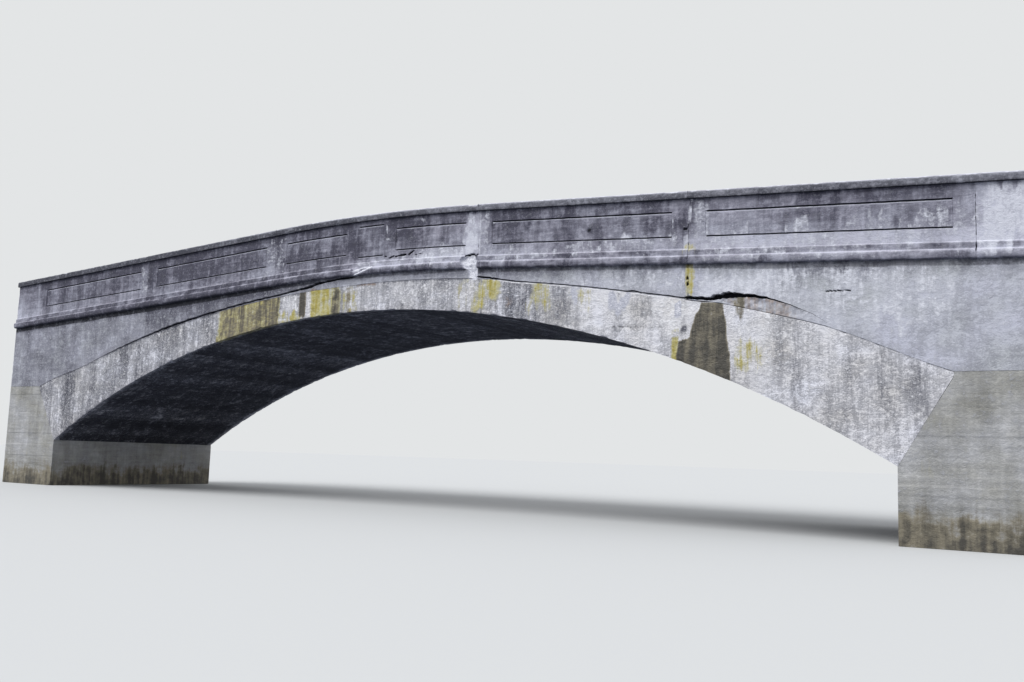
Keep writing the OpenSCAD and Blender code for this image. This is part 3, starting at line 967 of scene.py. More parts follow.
@dataclass(frozen=True)
class CastConcrete:
    """Cast concrete, struck from plain board shutters and never finished.

    It is a matt, slightly sandy skin that washes pale where rain reaches it and holds soot where it runs
    slowly.
    """

    name: str
    clean: str
    warm: str
    soot: str
    weights: dict[str, float]
    lime: str = "#d3d5df"
    thick_soot_and_shade: str = "#2b2b35"
    chalk: float = 0.4
    relief: float = 0.7
    roughness: float = 0.9
    wet_roughness: float = 0.6

    def grains(self, tree: NodeTree) -> dict[str, NodeSocket]:
        """Lays every noise pattern over the object's own place in the bridge.

        Args:
            tree: The material's tree.

        Returns:
            The patterns by name.
        """
        place = add(tree, "ShaderNodeTexCoord").outputs["Object"]
        made = {}
        for label, grain in GRAINS.items():
            size = {"Location": (grain.offset,) * 3, "Scale": tuple(1000 / cell for cell in grain.cell)}
            scaled = add(tree, "ShaderNodeMapping", {"Vector": place, **size})
            look = {"Scale": 1.0, "Detail": grain.detail, "Roughness": grain.roughness}
            made[label] = add(tree, "ShaderNodeTexNoise", {"Vector": scaled.outputs[0], **look}).outputs[0]
        return made

    def swing(
        self,
        tree: NodeTree,
        grains: dict[str, NodeSocket],
        start: NodeSocket | float,
        weights: dict[str, float],
    ) -> NodeSocket:
        """Adds the weighted swing of some grains about their middle to a mask.

        Args:
            tree: The material's tree.
            grains: The noise patterns.
            start: The mask, or a plain number.
            weights: How much each grain adds.

        Returns:
            The broken-up mask.
        """
        middle = -sum(weights.values()) / 2
        total = add(tree, "ShaderNodeMath", {0: start, 1: middle}, operation="ADD").outputs[0]
        for label, weight in weights.items():
            feeds = {0: grains[label], 1: weight, 2: total}
            total = add(tree, "ShaderNodeMath", feeds, operation="MULTIPLY_ADD").outputs[0]
        return total

    def make(self) -> Material:
        """Builds the node tree of this concrete.

        Returns:
            The material.
        """
        material = bpy.data.materials.new(self.name)
        tree = fresh_tree(material)
        grains = self.grains(tree)
        marks = {}
        for mark in Mark:
            marks[mark] = add(tree, "ShaderNodeAttribute", attribute_name=mark.value).outputs["Fac"]
        # Two tones of clean concrete in slow clouds
        tone = ramp(tree, grains["cloud"], 0.36, 0.64)
        colour = mix(tree, tone, linear(self.clean), linear(self.warm))
        # Soot in streaks and blotches, near black where it lies thickest, which paints the shade under the
        # copings and on the soffit too
        share = self.swing(tree, grains, marks[Mark.SOOT], self.weights)
        colour = mix(tree, ramp(tree, share, 0.0, 1.0), colour, linear(self.soot))
        colour = mix(tree, ramp(tree, share, 0.85, 1.50, 0.65), colour, linear(self.thick_soot_and_shade))
        # Flecks of chalky lime, washed out of the skin
        flecks = self.swing(tree, grains, 0.0, FLECKS)
        colour = mix(tree, ramp(tree, flecks, 0.12, 0.60, self.chalk), colour, linear(self.lime))
        for layer in STAIN_AND_SHADE_LAYERS:
            # A stain only spreads where its mask is above nothing
            there = ramp(tree, marks[layer.mark], 0.02, 0.25)
            spread = self.swing(tree, grains, marks[layer.mark], layer.weights)
            cover = {0: ramp(tree, spread, layer.low, layer.high), 1: there}
            cover = add(tree, "ShaderNodeMath", cover, operation="MULTIPLY").outputs[0]
            over = self.lime if layer.mark is Mark.PALE else layer.colour
            colour = mix(tree, cover, colour, linear(over))
        skin = self.swing(tree, grains, 0.0, {label: self.relief * deep for label, deep in RELIEF.items()})
        bump = add(tree, "ShaderNodeBump", {"Height": skin, "Strength": 1.0, "Distance": 1.0})
        drying = {"From Min": 0.2, "From Max": 0.9, "To Min": self.roughness, "To Max": self.wet_roughness}
        wet = add(tree, "ShaderNodeMapRange", {"Value": marks[Mark.DAMP], **drying})
        look = {"Base Color": colour, "Roughness": wet.outputs[0], "IOR": 1.5, "Normal": bump.outputs[0]}
        surface = add(tree, "ShaderNodeBsdfPrincipled", look)
        add(tree, "ShaderNodeOutputMaterial", {"Surface": surface.outputs[0]})
        return material


@dataclass(frozen=True)
class Aggregate:
    """Bound or packed stone, with stones of one size in a darker binder.

    It is a road surface that wheels have polished and frost has crazed, dusty along the kerbs, or the fill
    under it.
    """

    name: str
    binder: str
    stone: str
    dust: str
    stone_mm: float
    bump_mm: float
    worn: float = 0.0
    craze: str = "#2c2c2d"
    craze_mm: float = 800
    cloud_mm: float = 700
    fine_mm: float = 90
    track: float = 0.8
    kerb: tuple[float, float] = (1.75, 2.4)
    roughness: float = 0.92

    def make(self) -> Material:
        """Builds the node tree of this surface.

        Returns:
            The material.
        """
        material = bpy.data.materials.new(self.name)
        tree = fresh_tree(material)
        place = add(tree, "ShaderNodeTexCoord").outputs["Object"]
        stones = add(tree, "ShaderNodeTexVoronoi", {"Vector": place, "Scale": 1000 / self.stone_mm})
        cloud = {"Vector": place, "Scale": 1000 / self.cloud_mm, "Detail": 5.0}
        cloud = add(tree, "ShaderNodeTexNoise", cloud).outputs[0]
        fine = {"Vector": place, "Scale": 1000 / self.fine_mm, "Detail": 4.0}
        fine = add(tree, "ShaderNodeTexNoise", fine).outputs[0]
        pick = ramp(tree, stones.outputs["Distance"], 0.55, 0.25)
        colour = mix(tree, pick, linear(self.binder), linear(self.stone))
        tone = add(tree, "ShaderNodeHueSaturation", {"Saturation": 0.25, "Color": stones.outputs["Color"]})
        colour = mix(tree, ramp(tree, fine, 0.0, 1.0, 0.30), colour, tone.outputs[0])
        apart = add(tree, "ShaderNodeSeparateXYZ", {"Vector": place})
        out = add(tree, "ShaderNodeMath", {0: apart.outputs[1]}, operation="ABSOLUTE").outputs[0]
        # Two tracks that wheels have polished dark, one on each side of the middle
        track = add(tree, "ShaderNodeMath", {0: out, 1: self.track}, operation="SUBTRACT")
        track = add(tree, "ShaderNodeMath", {0: track.outputs[0]}, operation="ABSOLUTE")
        track = add(tree, "ShaderNodeMath", {0: cloud, 1: 0.8, 2: track.outputs[0]}, operation="MULTIPLY_ADD")
        polish = ramp(tree, track.outputs[0], 0.76, 0.36, 0.32 * self.worn)
        colour = mix(tree, polish, colour, linear(self.binder))
        # Crazing: the edges between large cells, pushed about by the fine noise
        pushed = add(tree, "ShaderNodeVectorMath", {0: place, 1: fine}, operation="ADD")
        cells = {"Vector": pushed.outputs[0], "Scale": 1000 / self.craze_mm}
        edge = add(tree, "ShaderNodeTexVoronoi", cells, feature="DISTANCE_TO_EDGE").outputs["Distance"]
        colour = mix(tree, ramp(tree, edge, 0.014, 0.004, 0.8 * self.worn), colour, linear(self.craze))
        # Dust gathers along the kerbs
        gather = {0: ramp(tree, out, *self.kerb), 1: 0.6, 2: cloud}
        gather = add(tree, "ShaderNodeMath", gather, operation="MULTIPLY_ADD").outputs[0]
        colour = mix(tree, ramp(tree, gather, 0.50, 1.15, 0.85), colour, linear(self.dust))
        bump = add(tree, "ShaderNodeBump", {"Height": pick, "Strength": 0.8, "Distance": self.bump_mm / 1000})
        look = {"Base Color": colour, "Roughness": self.roughness, "IOR": 1.5, "Normal": bump.outputs[0]}
        surface = add(tree, "ShaderNodeBsdfPrincipled", look)
        add(tree, "ShaderNodeOutputMaterial", {"Surface": surface.outputs[0]})
        return material


PARAPET_CONCRETE = CastConcrete(
    "board_cast_parapet_concrete",
    "#c3c5d3",
    "#b9b8c6",
    "#4c4b5a",
    {"cloud": 0.6, "band": 1.1, "streak": 0.8, "board": 0.5, "blotch": 1.2, "mottle": 0.9, "speck": 0.5},
    chalk=0.22,
)
COPING_CONCRETE = CastConcrete(
    "weathered_coping_concrete",
    "#c2c4cf",
    "#b7b7c2",
    "#41424c",
    {"cloud": 0.5, "band": 0.5, "streak": 0.4, "blotch": 1.2, "mottle": 1.2, "speck": 0.6},
    chalk=0.35,
)
SPANDREL_CONCRETE = CastConcrete(
    "board_cast_spandrel_concrete",
    "#c4c6d3",
    "#bcbfc4",
    "#5b5b68",
    {"cloud": 0.8, "band": 0.9, "streak": 0.7, "board": 0.3, "blotch": 1.6, "mottle": 1.3, "speck": 1.0},
    lime="#dcdee6",
    chalk=0.6,
)
RING_CONCRETE = CastConcrete(
    "board_cast_ring_concrete",
    "#e9eaf2",
    "#dddbda",
    "#4a4c58",
    {"cloud": 0.5, "band": 1.4, "streak": 1.2, "run": 0.6, "blotch": 1.8, "mottle": 2.0, "speck": 1.5},
    lime="#f3f3f6",
    chalk=0.9,
    relief=1.25,
)
ABUTMENT_CONCRETE = CastConcrete(
    "board_cast_abutment_concrete",
    "#bebfc2",
    "#b3b2ac",
    "#55554f",
    {"cloud": 0.6, "band": 0.8, "streak": 0.6, "board": 0.5, "blotch": 0.9, "mottle": 0.7, "speck": 0.4},
)
ROAD_SURFACE = Aggregate("worn_bound_road_surface", "#4f4f50", "#8b8985", "#8f8a80", 14, 3.0, worn=1.0)
ROAD_FILL = Aggregate("packed_gravel_fill", "#6a6358", "#9a9384", "#857c6c", 45, 10.0)


# Sub-assemblies


def cast(skin: Skin, node: str, finish: Material) -> None:
    """Makes a surface's piece and lets it stand for a CAD node: it rides on the root, and the node is hidden.

    Args:
        skin: The surface.
        node: The CAD node.
        finish: The piece's concrete.
    """
    made = skin.piece(f"cast_{node}", finish)
    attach(made, "root")
    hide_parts(node)
    LOG.info("%s: %d faces for %s", made.name, len(made.data.polygons), node)


@dataclass(frozen=True)
class Panel:
    """Sunk panel: two grooves along it, a slightly sunk field between them and a narrow groove at each end.

    Each long groove has a square upper side and a sloping lower one.
    """

    start: float
    stop: float
    drop: float
    height: float
    groove: float = 0.030
    slope: float = 0.007
    end_groove: float = 0.014
    depth: float = 0.026
    end_depth: float = 0.013
    field_depth: float = 0.008
    arris: float = 0.002

    @property
    def low(self) -> float:
        """Lower edge of the panel, below the coping's top."""
        return self.drop + self.height

    def rows(self) -> tuple[float, ...]:
        """Where the section of the panel turns, down the wall.

        Returns:
            Distances below the coping's top.
        """
        high, low = self.drop, self.low - self.groove
        first = (high, high + self.arris, high + self.groove - self.slope, high + self.groove)
        return (*first, low, low + self.arris, low + self.groove - self.slope, low + self.groove)

    def sink(self, x: Grid, drop: Grid) -> Grid:
        """Depth cut into the wall: straight runs between the section's turns, cut off by the end grooves.

        Args:
            x: Places along the bridge.
            drop: Distances below the coping's top.

        Returns:
            The depth at each place.
        """
        depths = (0, self.depth, self.depth, self.field_depth, self.field_depth, self.depth, self.depth, 0)
        down = np.interp(drop, self.rows(), depths)
        away = np.minimum(x - self.start, self.stop - x)
        within = (drop > self.drop) & (drop < self.low)
        ends = np.where(within & (away > 0), self.end_depth, 0)
        return np.where(away > self.end_groove, down, ends)

    def ledge_highlight(self, x: Grid, drop: Grid) -> Grid:
        """Mask of the two sloping sides, which carry a painted highlight.

        Args:
            x: Places along the bridge.
            drop: Distances below the coping's top.

        Returns:
            A mask from 0 to 1.
        """
        along = smooth(0.0, 0.02, np.minimum(x - self.start, self.stop - x))
        near = np.minimum(np.abs(drop - self.drop - self.groove), np.abs(drop - self.low))
        return along * smooth(0.010, 0.001, near)

    def x_edges(self) -> tuple[float, ...]:
        """Where the panel steps along the wall."""
        return self.start, self.start + self.end_groove, self.stop - self.end_groove, self.stop


@dataclass(frozen=True)
class Carving:
    """What is cut into a parapet wall and broken off it, at each point of its grid.

    It says which points face outwards, how deep the panels are sunk, where their sloping sides and the round
    string course are, what share of the latter is left, and which places are damaged.
    """

    front: Grid
    sunk: Grid
    ledge_highlight: Grid
    left: Grid
    rounded: Grid
    hurt: dict[Mark, Grid]

    @property
    def whole(self) -> Grid:
        """Share of the skin that isn't broken off."""
        return np.where(self.front, 1 - self.hurt[Mark.RAW], 1)


@dataclass(frozen=True)
class Parapets:
    """The parapet walls: panelled bays and plain end posts with a plinth and a round string course."""

    road: RoadLine
    wall_face: float
    thickness: float = 0.300
    height: float = 1.312
    coping: float = 0.140
    plinth: float = 0.270
    plinth_step: float = 0.028
    chamfer: float = 0.024
    roll: float = 0.055
    roll_tall: float = 0.152
    margin: float = 0.311
    outer_ease: float = 0.007
    small_half: float = 0.369
    long_panel: tuple[float, float] = (0.354, 0.476)
    centre_panel: tuple[float, float] = (0.354, 0.494)
    small_panel: tuple[float, float, float] = (0.236, 0.697, 0.706)
    small_end_depth: float = 0.006
    closing: float = 0.006
    step: float = 0.030
    back_step: float = 0.038

    def panels(self, bay: Bay) -> tuple[Panel, ...]:
        """Panels of one bay: one long panel, or a small one between two long ones at the centre.

        Args:
            bay: The bay.

        Returns:
            Its panels.
        """
        drop, height = self.centre_panel if bay.name == "centre" else self.long_panel
        if bay.name == "centre":
            top, tall, wide = self.small_panel
            inner = self.small_half + self.margin
            outer = self.road.joint - self.margin
            return (
                Panel(-outer, -inner, drop, height),
                Panel(-wide / 2, wide / 2, top, tall, end_depth=self.small_end_depth),
                Panel(inner, outer, drop, height),
            )
        edge = self.margin - self.outer_ease
        return (Panel(bay.start + edge, bay.stop - edge, drop, height),)

    def fractures(self, x: Grid) -> tuple[Grid, Grid]:
        """Drops of the two slanting lines along which the round string course is broken off.

        Args:
            x: Places along the bridge.

        Returns:
            The drop of the main fracture, which rises from the foot to the top, and of the ridge above it.
        """
        jag = 0.010 * rough(x, x * 0, 0.09, Seed.FRACTURE)
        return np.interp(x, *FRACTURE) + jag, np.interp(x, *FRACTURE_RIDGE) + 0.7 * jag

    def roll_left(self, x: Grid, drop: Grid, side: Side) -> Grid:
        """Share of the round string course that is left, by its table and the two slanting fractures.

        It is cut back above the fractures, worn flat towards the first joint and notched at the second.

        Args:
            x: Places along the bridge.
            drop: Distances below the coping's top.
            side: Face of the bridge; the back's is whole.

        Returns:
            A share from 0 to 1.
        """
        if side is Side.BACK:
            return np.ones(np.broadcast(x, drop).shape)
        worn = np.interp(x, *ROLL_WEAR) - 0.10 * np.clip(rough(x, x * 0, 0.35, Seed.ROLL_WEAR), 0, 1)
        main, ridge = (smooth(line + 0.006, line - 0.006, drop) for line in self.fractures(x))
        lost = 0.50 * main + 0.50 * ridge
        bay = (x > FRACTURE_BAY[0]) & (x < FRACTURE_BAY[1])
        return worn * np.where(bay, 1 - lost, 1)

    def fresh(self, x: Grid, drop: Grid, side: Side) -> Grid:
        """Bright broken concrete along the two fractures of the round string course, and one bright clot.

        Args:
            x: Places along the bridge.
            drop: Distances below the coping's top.
            side: Face of the bridge; the back's is whole.

        Returns:
            A mask that may pass 1.
        """
        if side is Side.BACK:
            return np.zeros(np.broadcast(x, drop).shape)
        main, ridge = self.fractures(x)
        bright = np.exp(-(((drop - main) / 0.020) ** 2))
        bright = np.maximum(bright, np.exp(-(((drop - ridge) / 0.014) ** 2)))
        clot = np.exp(-(((x + 0.33) / 0.10) ** 2) - ((drop - 1.215) / 0.030) ** 2)
        along = smooth(-0.47, -0.45, x) * smooth(0.11, 0.07, x)
        return 1.3 * along * np.maximum(bright, clot)

    def soot(self, x: Grid, drop: Grid) -> Grid:
        """Soot by its table, with its painted shadow and highlights, lighter in the right-hand bay and darker
        to the left.

        Args:
            x: Places along the bridge.
            drop: Distances below the coping's top.

        Returns:
            General soot.
        """
        base = np.interp(drop, *PARAPET_SOOT_SHADE_HIGHLIGHT)
        # Between the panels and the plinth
        below = smooth(0.79, 0.87, drop) * smooth(1.036, 1.026, drop)
        base = base - (0.10 + 0.26 * below) * smooth(7.1, 7.4, x) - 0.25 * smooth(11.8, 11.9, np.abs(x))
        base = base - 0.06 * below * smooth(-2.0, -3.0, x)
        base = base + 0.30 * smooth(1.15, 1.16, drop) * smooth(-3.0, -5.5, x)
        uneven = 0.34 * smooth(1.00, 1.04, drop) * rough(x, drop, 0.18, Seed.ROLL_SOOT, tall=0.5)
        return base + uneven + 0.06 * smooth(-0.2, -0.8, x) + 0.04 * smooth(-2.7, -3.3, x)

    def section(self, panels: tuple[Panel, ...]) -> tuple[Grid, Grid, Grid]:
        """Section of the wall, once round from the back of its foot: drop, projection and share of the roll.

        The roll is a flattened half round: its projection is the radius times the cosine to the power of 0.6.

        Args:
            panels: The bay's panels, whose turns get rows of their own.

        Returns:
            Drops, projections from the wall's face, and the part of each projection that the roll makes.
        """
        turns = tuple(sorted({row for panel in panels for row in panel.rows()}))
        bend = np.radians(np.linspace(-90, 90, 17))
        half = self.roll_tall / 2
        roll_drop, roll_out = self.height - half - half * np.sin(bend), self.roll * np.cos(bend) ** 0.6
        plinth_top = self.height - self.plinth
        chamfer_low = plinth_top + self.chamfer * 0.75
        plinth = stations(chamfer_low, self.height - self.roll_tall - 0.004, 0.016)[::-1]
        face_low = plinth_top - self.chamfer * 0.25
        face = stations(self.coping, face_low, self.step, (), ((0.84, 1.05, 0.014),), turns)[::-1]
        back = stations(self.coping, self.height, 0.10)
        parts = (
            (np.array([self.height, self.height]), np.array([-0.15, 0.0]), 0),
            (roll_drop, np.full(bend.size, self.plinth_step), roll_out),
            (plinth, np.full(plinth.size, self.plinth_step), 0),
            (face, np.zeros(face.size), 0),
            (np.array([self.coping, self.coping]), np.array([-0.1, -0.2]), 0),
            (back, np.full(back.size, -self.thickness), 0),
        )
        drop = np.concatenate([part[0] for part in parts])
        out = np.concatenate([part[1] for part in parts])
        share = np.concatenate([np.broadcast_to(part[2], part[0].shape) for part in parts])
        return drop, out, share

    def places(self, start: float, stop: float, side: Side, panels: tuple[Panel, ...]) -> Grid:
        """Stations of one wall, closer together at its ends and, on the front, where it is broken.

        Args:
            start: Where the wall starts.
            stop: Where it stops.
            side: Face of the bridge.
            panels: The wall's panels, whose edges get stations of their own.

        Returns:
            The stations, one a row.
        """
        edges = tuple(edge for panel in panels for edge in panel.x_edges())
        zones = ((start, start + 0.06, 0.010), (stop - 0.06, stop, 0.010))
        if side is Side.BACK:
            return stations(start, stop, self.back_step, edges, zones)[:, None]
        zones += ((-0.60, 0.20, 0.012), (0.36, 1.42, 0.012), (2.00, 3.00, 0.012), (7.0, 7.4, 0.012))
        # Two stations make the crisp end of the round string course at the fracture
        return stations(start, stop, self.step, edges, zones, (-0.464, -0.460))[:, None]

    def wall(self, bay: Bay, side: Side) -> Skin:
        """One wall: projection = section - panels - damage - worn arrises, along the road line.

        Args:
            bay: Where it starts and stops.
            side: Face of the bridge.

        Returns:
            The surface with its masks.
        """
        panels = () if "post" in bay.name else self.panels(bay)
        drop, out, roll = (part[None, :] for part in self.section(panels))
        start, stop = bay.start - self.closing, bay.stop + self.closing
        x = self.places(start, stop, side, panels)
        z = self.road.height(x, drop)
        key = side.value * 7
        front = np.broadcast_to(out > -0.01, z.shape)
        lost, hurt = broken(np.broadcast_to(x, z.shape), z, side)
        sunk = sum((panel.sink(x, drop) for panel in panels), np.zeros(z.shape))
        ledge_highlight = sum((panel.ledge_highlight(x, drop) for panel in panels), np.zeros(z.shape))
        sunk = sunk * front * (out < 0.01)
        worn = 0.003 * rough(x, z, 0.22, Seed.WALL_WAVE + key)
        worn = worn + 0.005 * rough(x, z, 0.08, Seed.WALL_GRAIN + key) * (drop > 1.05)
        away, inward = from_ends(x, start, stop)
        chip = chipped(x, z, away, Seed.CHIP + key)
        left = self.roll_left(x, drop, side)
        carved = Carving(front, sunk, ledge_highlight, left, roll > 0, hurt)
        face = (out + roll * left) * carved.whole - sunk - (lost + worn + 0.016 * chip) * front
        # The joint's arrises crumble: the end moves in where they are chipped
        nibble = crumbled(x, z, away, 0.016, 0.02, Seed.WALL_END + key)
        moved = x + inward * nibble * smooth(-0.12, 0.0, out)
        moved = moved + 0.002 * rough(x, z, 0.09, Seed.WALL_SWAY + key) * front * (away > 0.01)
        inside = (drop > self.coping) * (drop < self.height)
        lift = 0.003 * rough(x, z, 0.13, Seed.WALL_LIFT + key) * front * inside
        points = np.stack([moved, side.value * (self.wall_face + face), z + lift], axis=-1)
        return Skin(points, self.masks(x, drop, side, carved))

    def masks(self, x: Grid, drop: Grid, side: Side, carved: Carving) -> dict[Mark, Grid]:
        """Weathering of one wall, with the shade under its round string course and in its grooves.

        Args:
            x: Places along the bridge.
            drop: Distances below the coping's top.
            side: Face of the bridge.
            carved: What is cut into the wall and broken off it.

        Returns:
            One mask for each kind of weathering.
        """
        z = self.road.height(x, drop)
        front, ledge_highlight, left, hurt = carved.front, carved.ledge_highlight, carved.left, carved.hurt
        soot = self.soot(x, drop) - 0.45 * ledge_highlight + 0.25 * (left < 0.9) * carved.rounded
        soot = np.where(front, soot + 0.0 * z, HIDDEN_SOOT)
        marks = weather(x + 0 * z, z, PARAPET_PATCHES if side is Side.FRONT else (), soot)
        marks[Mark.RAW] = np.maximum(hurt[Mark.RAW], self.fresh(x, drop, side))
        # Shade under the round string course, lower down past the second joint, and in the panels' grooves
        later = 0.018 * smooth(7.2, 7.4, x)
        under = 0.40 * smooth(1.268 + later, 1.294 + later, drop) * np.clip(left + 0.1, 0, 1)
        cut = 0.95 * (carved.sunk > 0.020)
        marks[Mark.SHADE_AND_CRUST] = np.maximum(np.maximum(hurt[Mark.SHADE_AND_CRUST], under * (1 - marks[Mark.RAW])), cut)
        marks[Mark.SOOT] = marks[Mark.SOOT] * (0.15 + 0.85 * carved.whole)
        # Painted highlight on the grooves' sloping sides: less soot and more pale
        marks[Mark.PALE] = np.maximum(marks[Mark.PALE], 0.40 * ledge_highlight)
        for mark in MARKS_BUT_SOOT:
            marks[mark] = marks[mark] * front
        return marks

    def build(self, bays: tuple[Bay, ...], post: tuple[Bay, ...], finish: Material) -> None:
        """Builds every bay and post on both sides and hands each over to its CAD node.

        Args:
            bays: The panelled bays.
            post: The two end posts.
            finish: The parapets' concrete.
        """
        for side in Side:
            for bay in bays:
                node = f"{side.name.lower()}_{bay.name}_parapet"
                cast(self.wall(bay, side), node, finish)
            for bay in post:
                node = f"{side.name.lower()}_{bay.name}"
                cast(self.wall(bay, side), node, finish)


@dataclass(frozen=True)
class Copings:
    """The flat copings: a slab with rounded, chipped arrises along every bay."""

    road: RoadLine
    wall_face: float
    thickness: float = 0.300
    depth: float = 0.140
    overhang: float = 0.060
    arris: float = 0.026
    closing: float = 0.006
    step: float = 0.028
    back_step: float = 0.040

    def section(self) -> tuple[Grid, Grid]:
        """Section once round, from the foot of the outer face: straight runs joined by quarter circles.

        Returns:
            Drops below the coping's top, and projections from the wall's face.
        """
        turn = np.radians(np.linspace(0, 90, 5))
        outer, inner = self.overhang, -self.thickness - self.overhang
        r, foot = self.arris, self.depth
        rows = np.linspace(foot - 0.008, r, 7)[:-1]
        flat = np.linspace(outer - r, inner + r, 10)[1:-1]
        drop = [[foot, foot - 0.002], rows, r - r * np.sin(turn), np.zeros(8), r - r * np.sin(turn[::-1])]
        out = [[outer - 0.008, outer - 0.002], np.full(6, outer), outer - r + r * np.cos(turn), flat]
        out += [inner + r - r * np.cos(turn[::-1])]
        drop += [rows[::-1], [foot, foot, foot]]
        out += [np.full(6, inner), [inner + 0.004, inner + 0.06, outer - 0.06]]
        return np.concatenate(drop), np.concatenate(out)

    def slab(self, bay: Bay, side: Side) -> Skin:
        """One coping: the section along the road line, its arrises eaten back where a random field is high.

        Args:
            bay: Where it starts and stops.
            side: Face of the bridge.

        Returns:
            The surface with its masks.
        """
        drop, out = self.section()
        start, stop = bay.wall_start - self.closing, bay.wall_stop + self.closing
        zones = ((start, start + 0.06, 0.01), (stop - 0.06, stop, 0.01))
        if side is Side.FRONT:
            zones += ((2.45, 3.0, 0.012),)
        step = self.step if side is Side.FRONT else self.back_step
        x = stations(start, stop, step, (), zones)[:, None]
        drop, out = drop[None, :] + 0 * x, out[None, :] + 0 * x
        key = side.value * 5
        corner = np.minimum(np.abs(out - self.overhang), np.abs(out + self.thickness + self.overhang))
        near = np.exp(-(corner + np.minimum(drop, self.depth - drop)) / 0.018)
        bite = np.clip(rough(x, drop * 3 + out, 0.16, Seed.COPING_BITE + key) - 0.18, 0, 1) * 0.040 * near
        if side is Side.FRONT:
            # A nick out of the upper arris beside the joint over the scar
            nick = smooth(2.52, 2.58, x) * smooth(2.80, 2.74, x)
            nick = nick * (0.7 + 0.5 * rough(x, drop, 0.06, Seed.COPING_NICK))
            bite = bite + 0.045 * nick * np.exp(-(np.abs(out - self.overhang) + drop) / 0.035)
        sign = np.where(out > -self.thickness / 2, 1, -1)
        away, inward = from_ends(x, start, stop)
        nibble = crumbled(x, drop + out, away, 0.012, 0.015, Seed.COPING_END + key)
        wave = 0.0025 * rough(x, drop + out, 0.3, Seed.COPING_WAVE + key)
        face = out - sign * (bite + np.abs(wave))
        top = smooth(0.03, 0.0, drop)
        hollow = 0.005 * np.clip(rough(x, out, 0.12, Seed.COPING_TOP), 0, 1)
        z = self.road.height(x, drop + top * (0.9 * bite + hollow))
        points = np.stack([x + inward * nibble, side.value * (self.wall_face + face), z], axis=-1)
        soot = np.interp(drop, *COPING_SOOT_SHADE_HIGHLIGHT)
        soot = np.where((drop < 0.002) & (corner > 0.05), HIDDEN_SOOT, soot)
        soot = soot - 0.35 * smooth(0.004, 0.012, bite)
        soot = soot + 0.16 * smooth(1.0, -1.0, x) + 0.34 * smooth(-2.5, -6.0, x)
        marks = weather(x + 0 * z, z, (), soot)
        # Painted shade along the foot, and a painted highlight along the top arris
        marks[Mark.SHADE_AND_CRUST] = 0.8 * smooth(0.134, 0.139, drop)
        arris_highlight = 0.7 * smooth(0.034, 0.012, drop) * smooth(0.05, 0.02, corner)
        marks[Mark.PALE] = arris_highlight * (1 - 0.6 * smooth(0.0, -4.0, x)) + 0.5 * smooth(0.008, 0.02, bite)
        return Skin(points, marks)

    def build(self, bays: tuple[Bay, ...], finish: Material) -> None:
        """Builds the copings on both sides and hands each over to its CAD node.

        Args:
            bays: The bays, the outer ones running on over the end posts.
            finish: The copings' concrete.
        """
        for side in Side:
            for bay in bays:
                node = f"{side.name.lower()}_{bay.name}_coping"
                cast(self.slab(bay, side), node, finish)


@dataclass(frozen=True)
class GapLines:
    """The lines that bound a spandrel wall, by place along the bridge.

    They are the ring's line, the foot of the string course, the ring's line behind the face, the crack's
    height over the ring, its width and depth, and how far the seam under the loose wedge gapes.
    """

    low: Grid
    top: Grid
    inner: Grid
    rise: Grid
    width: Grid
    depth: Grid
    gape: Grid

    @property
    def seam(self) -> Grid:
        """Height of the seam over the ring's line."""
        return 0.005 + 0.010 * self.gape


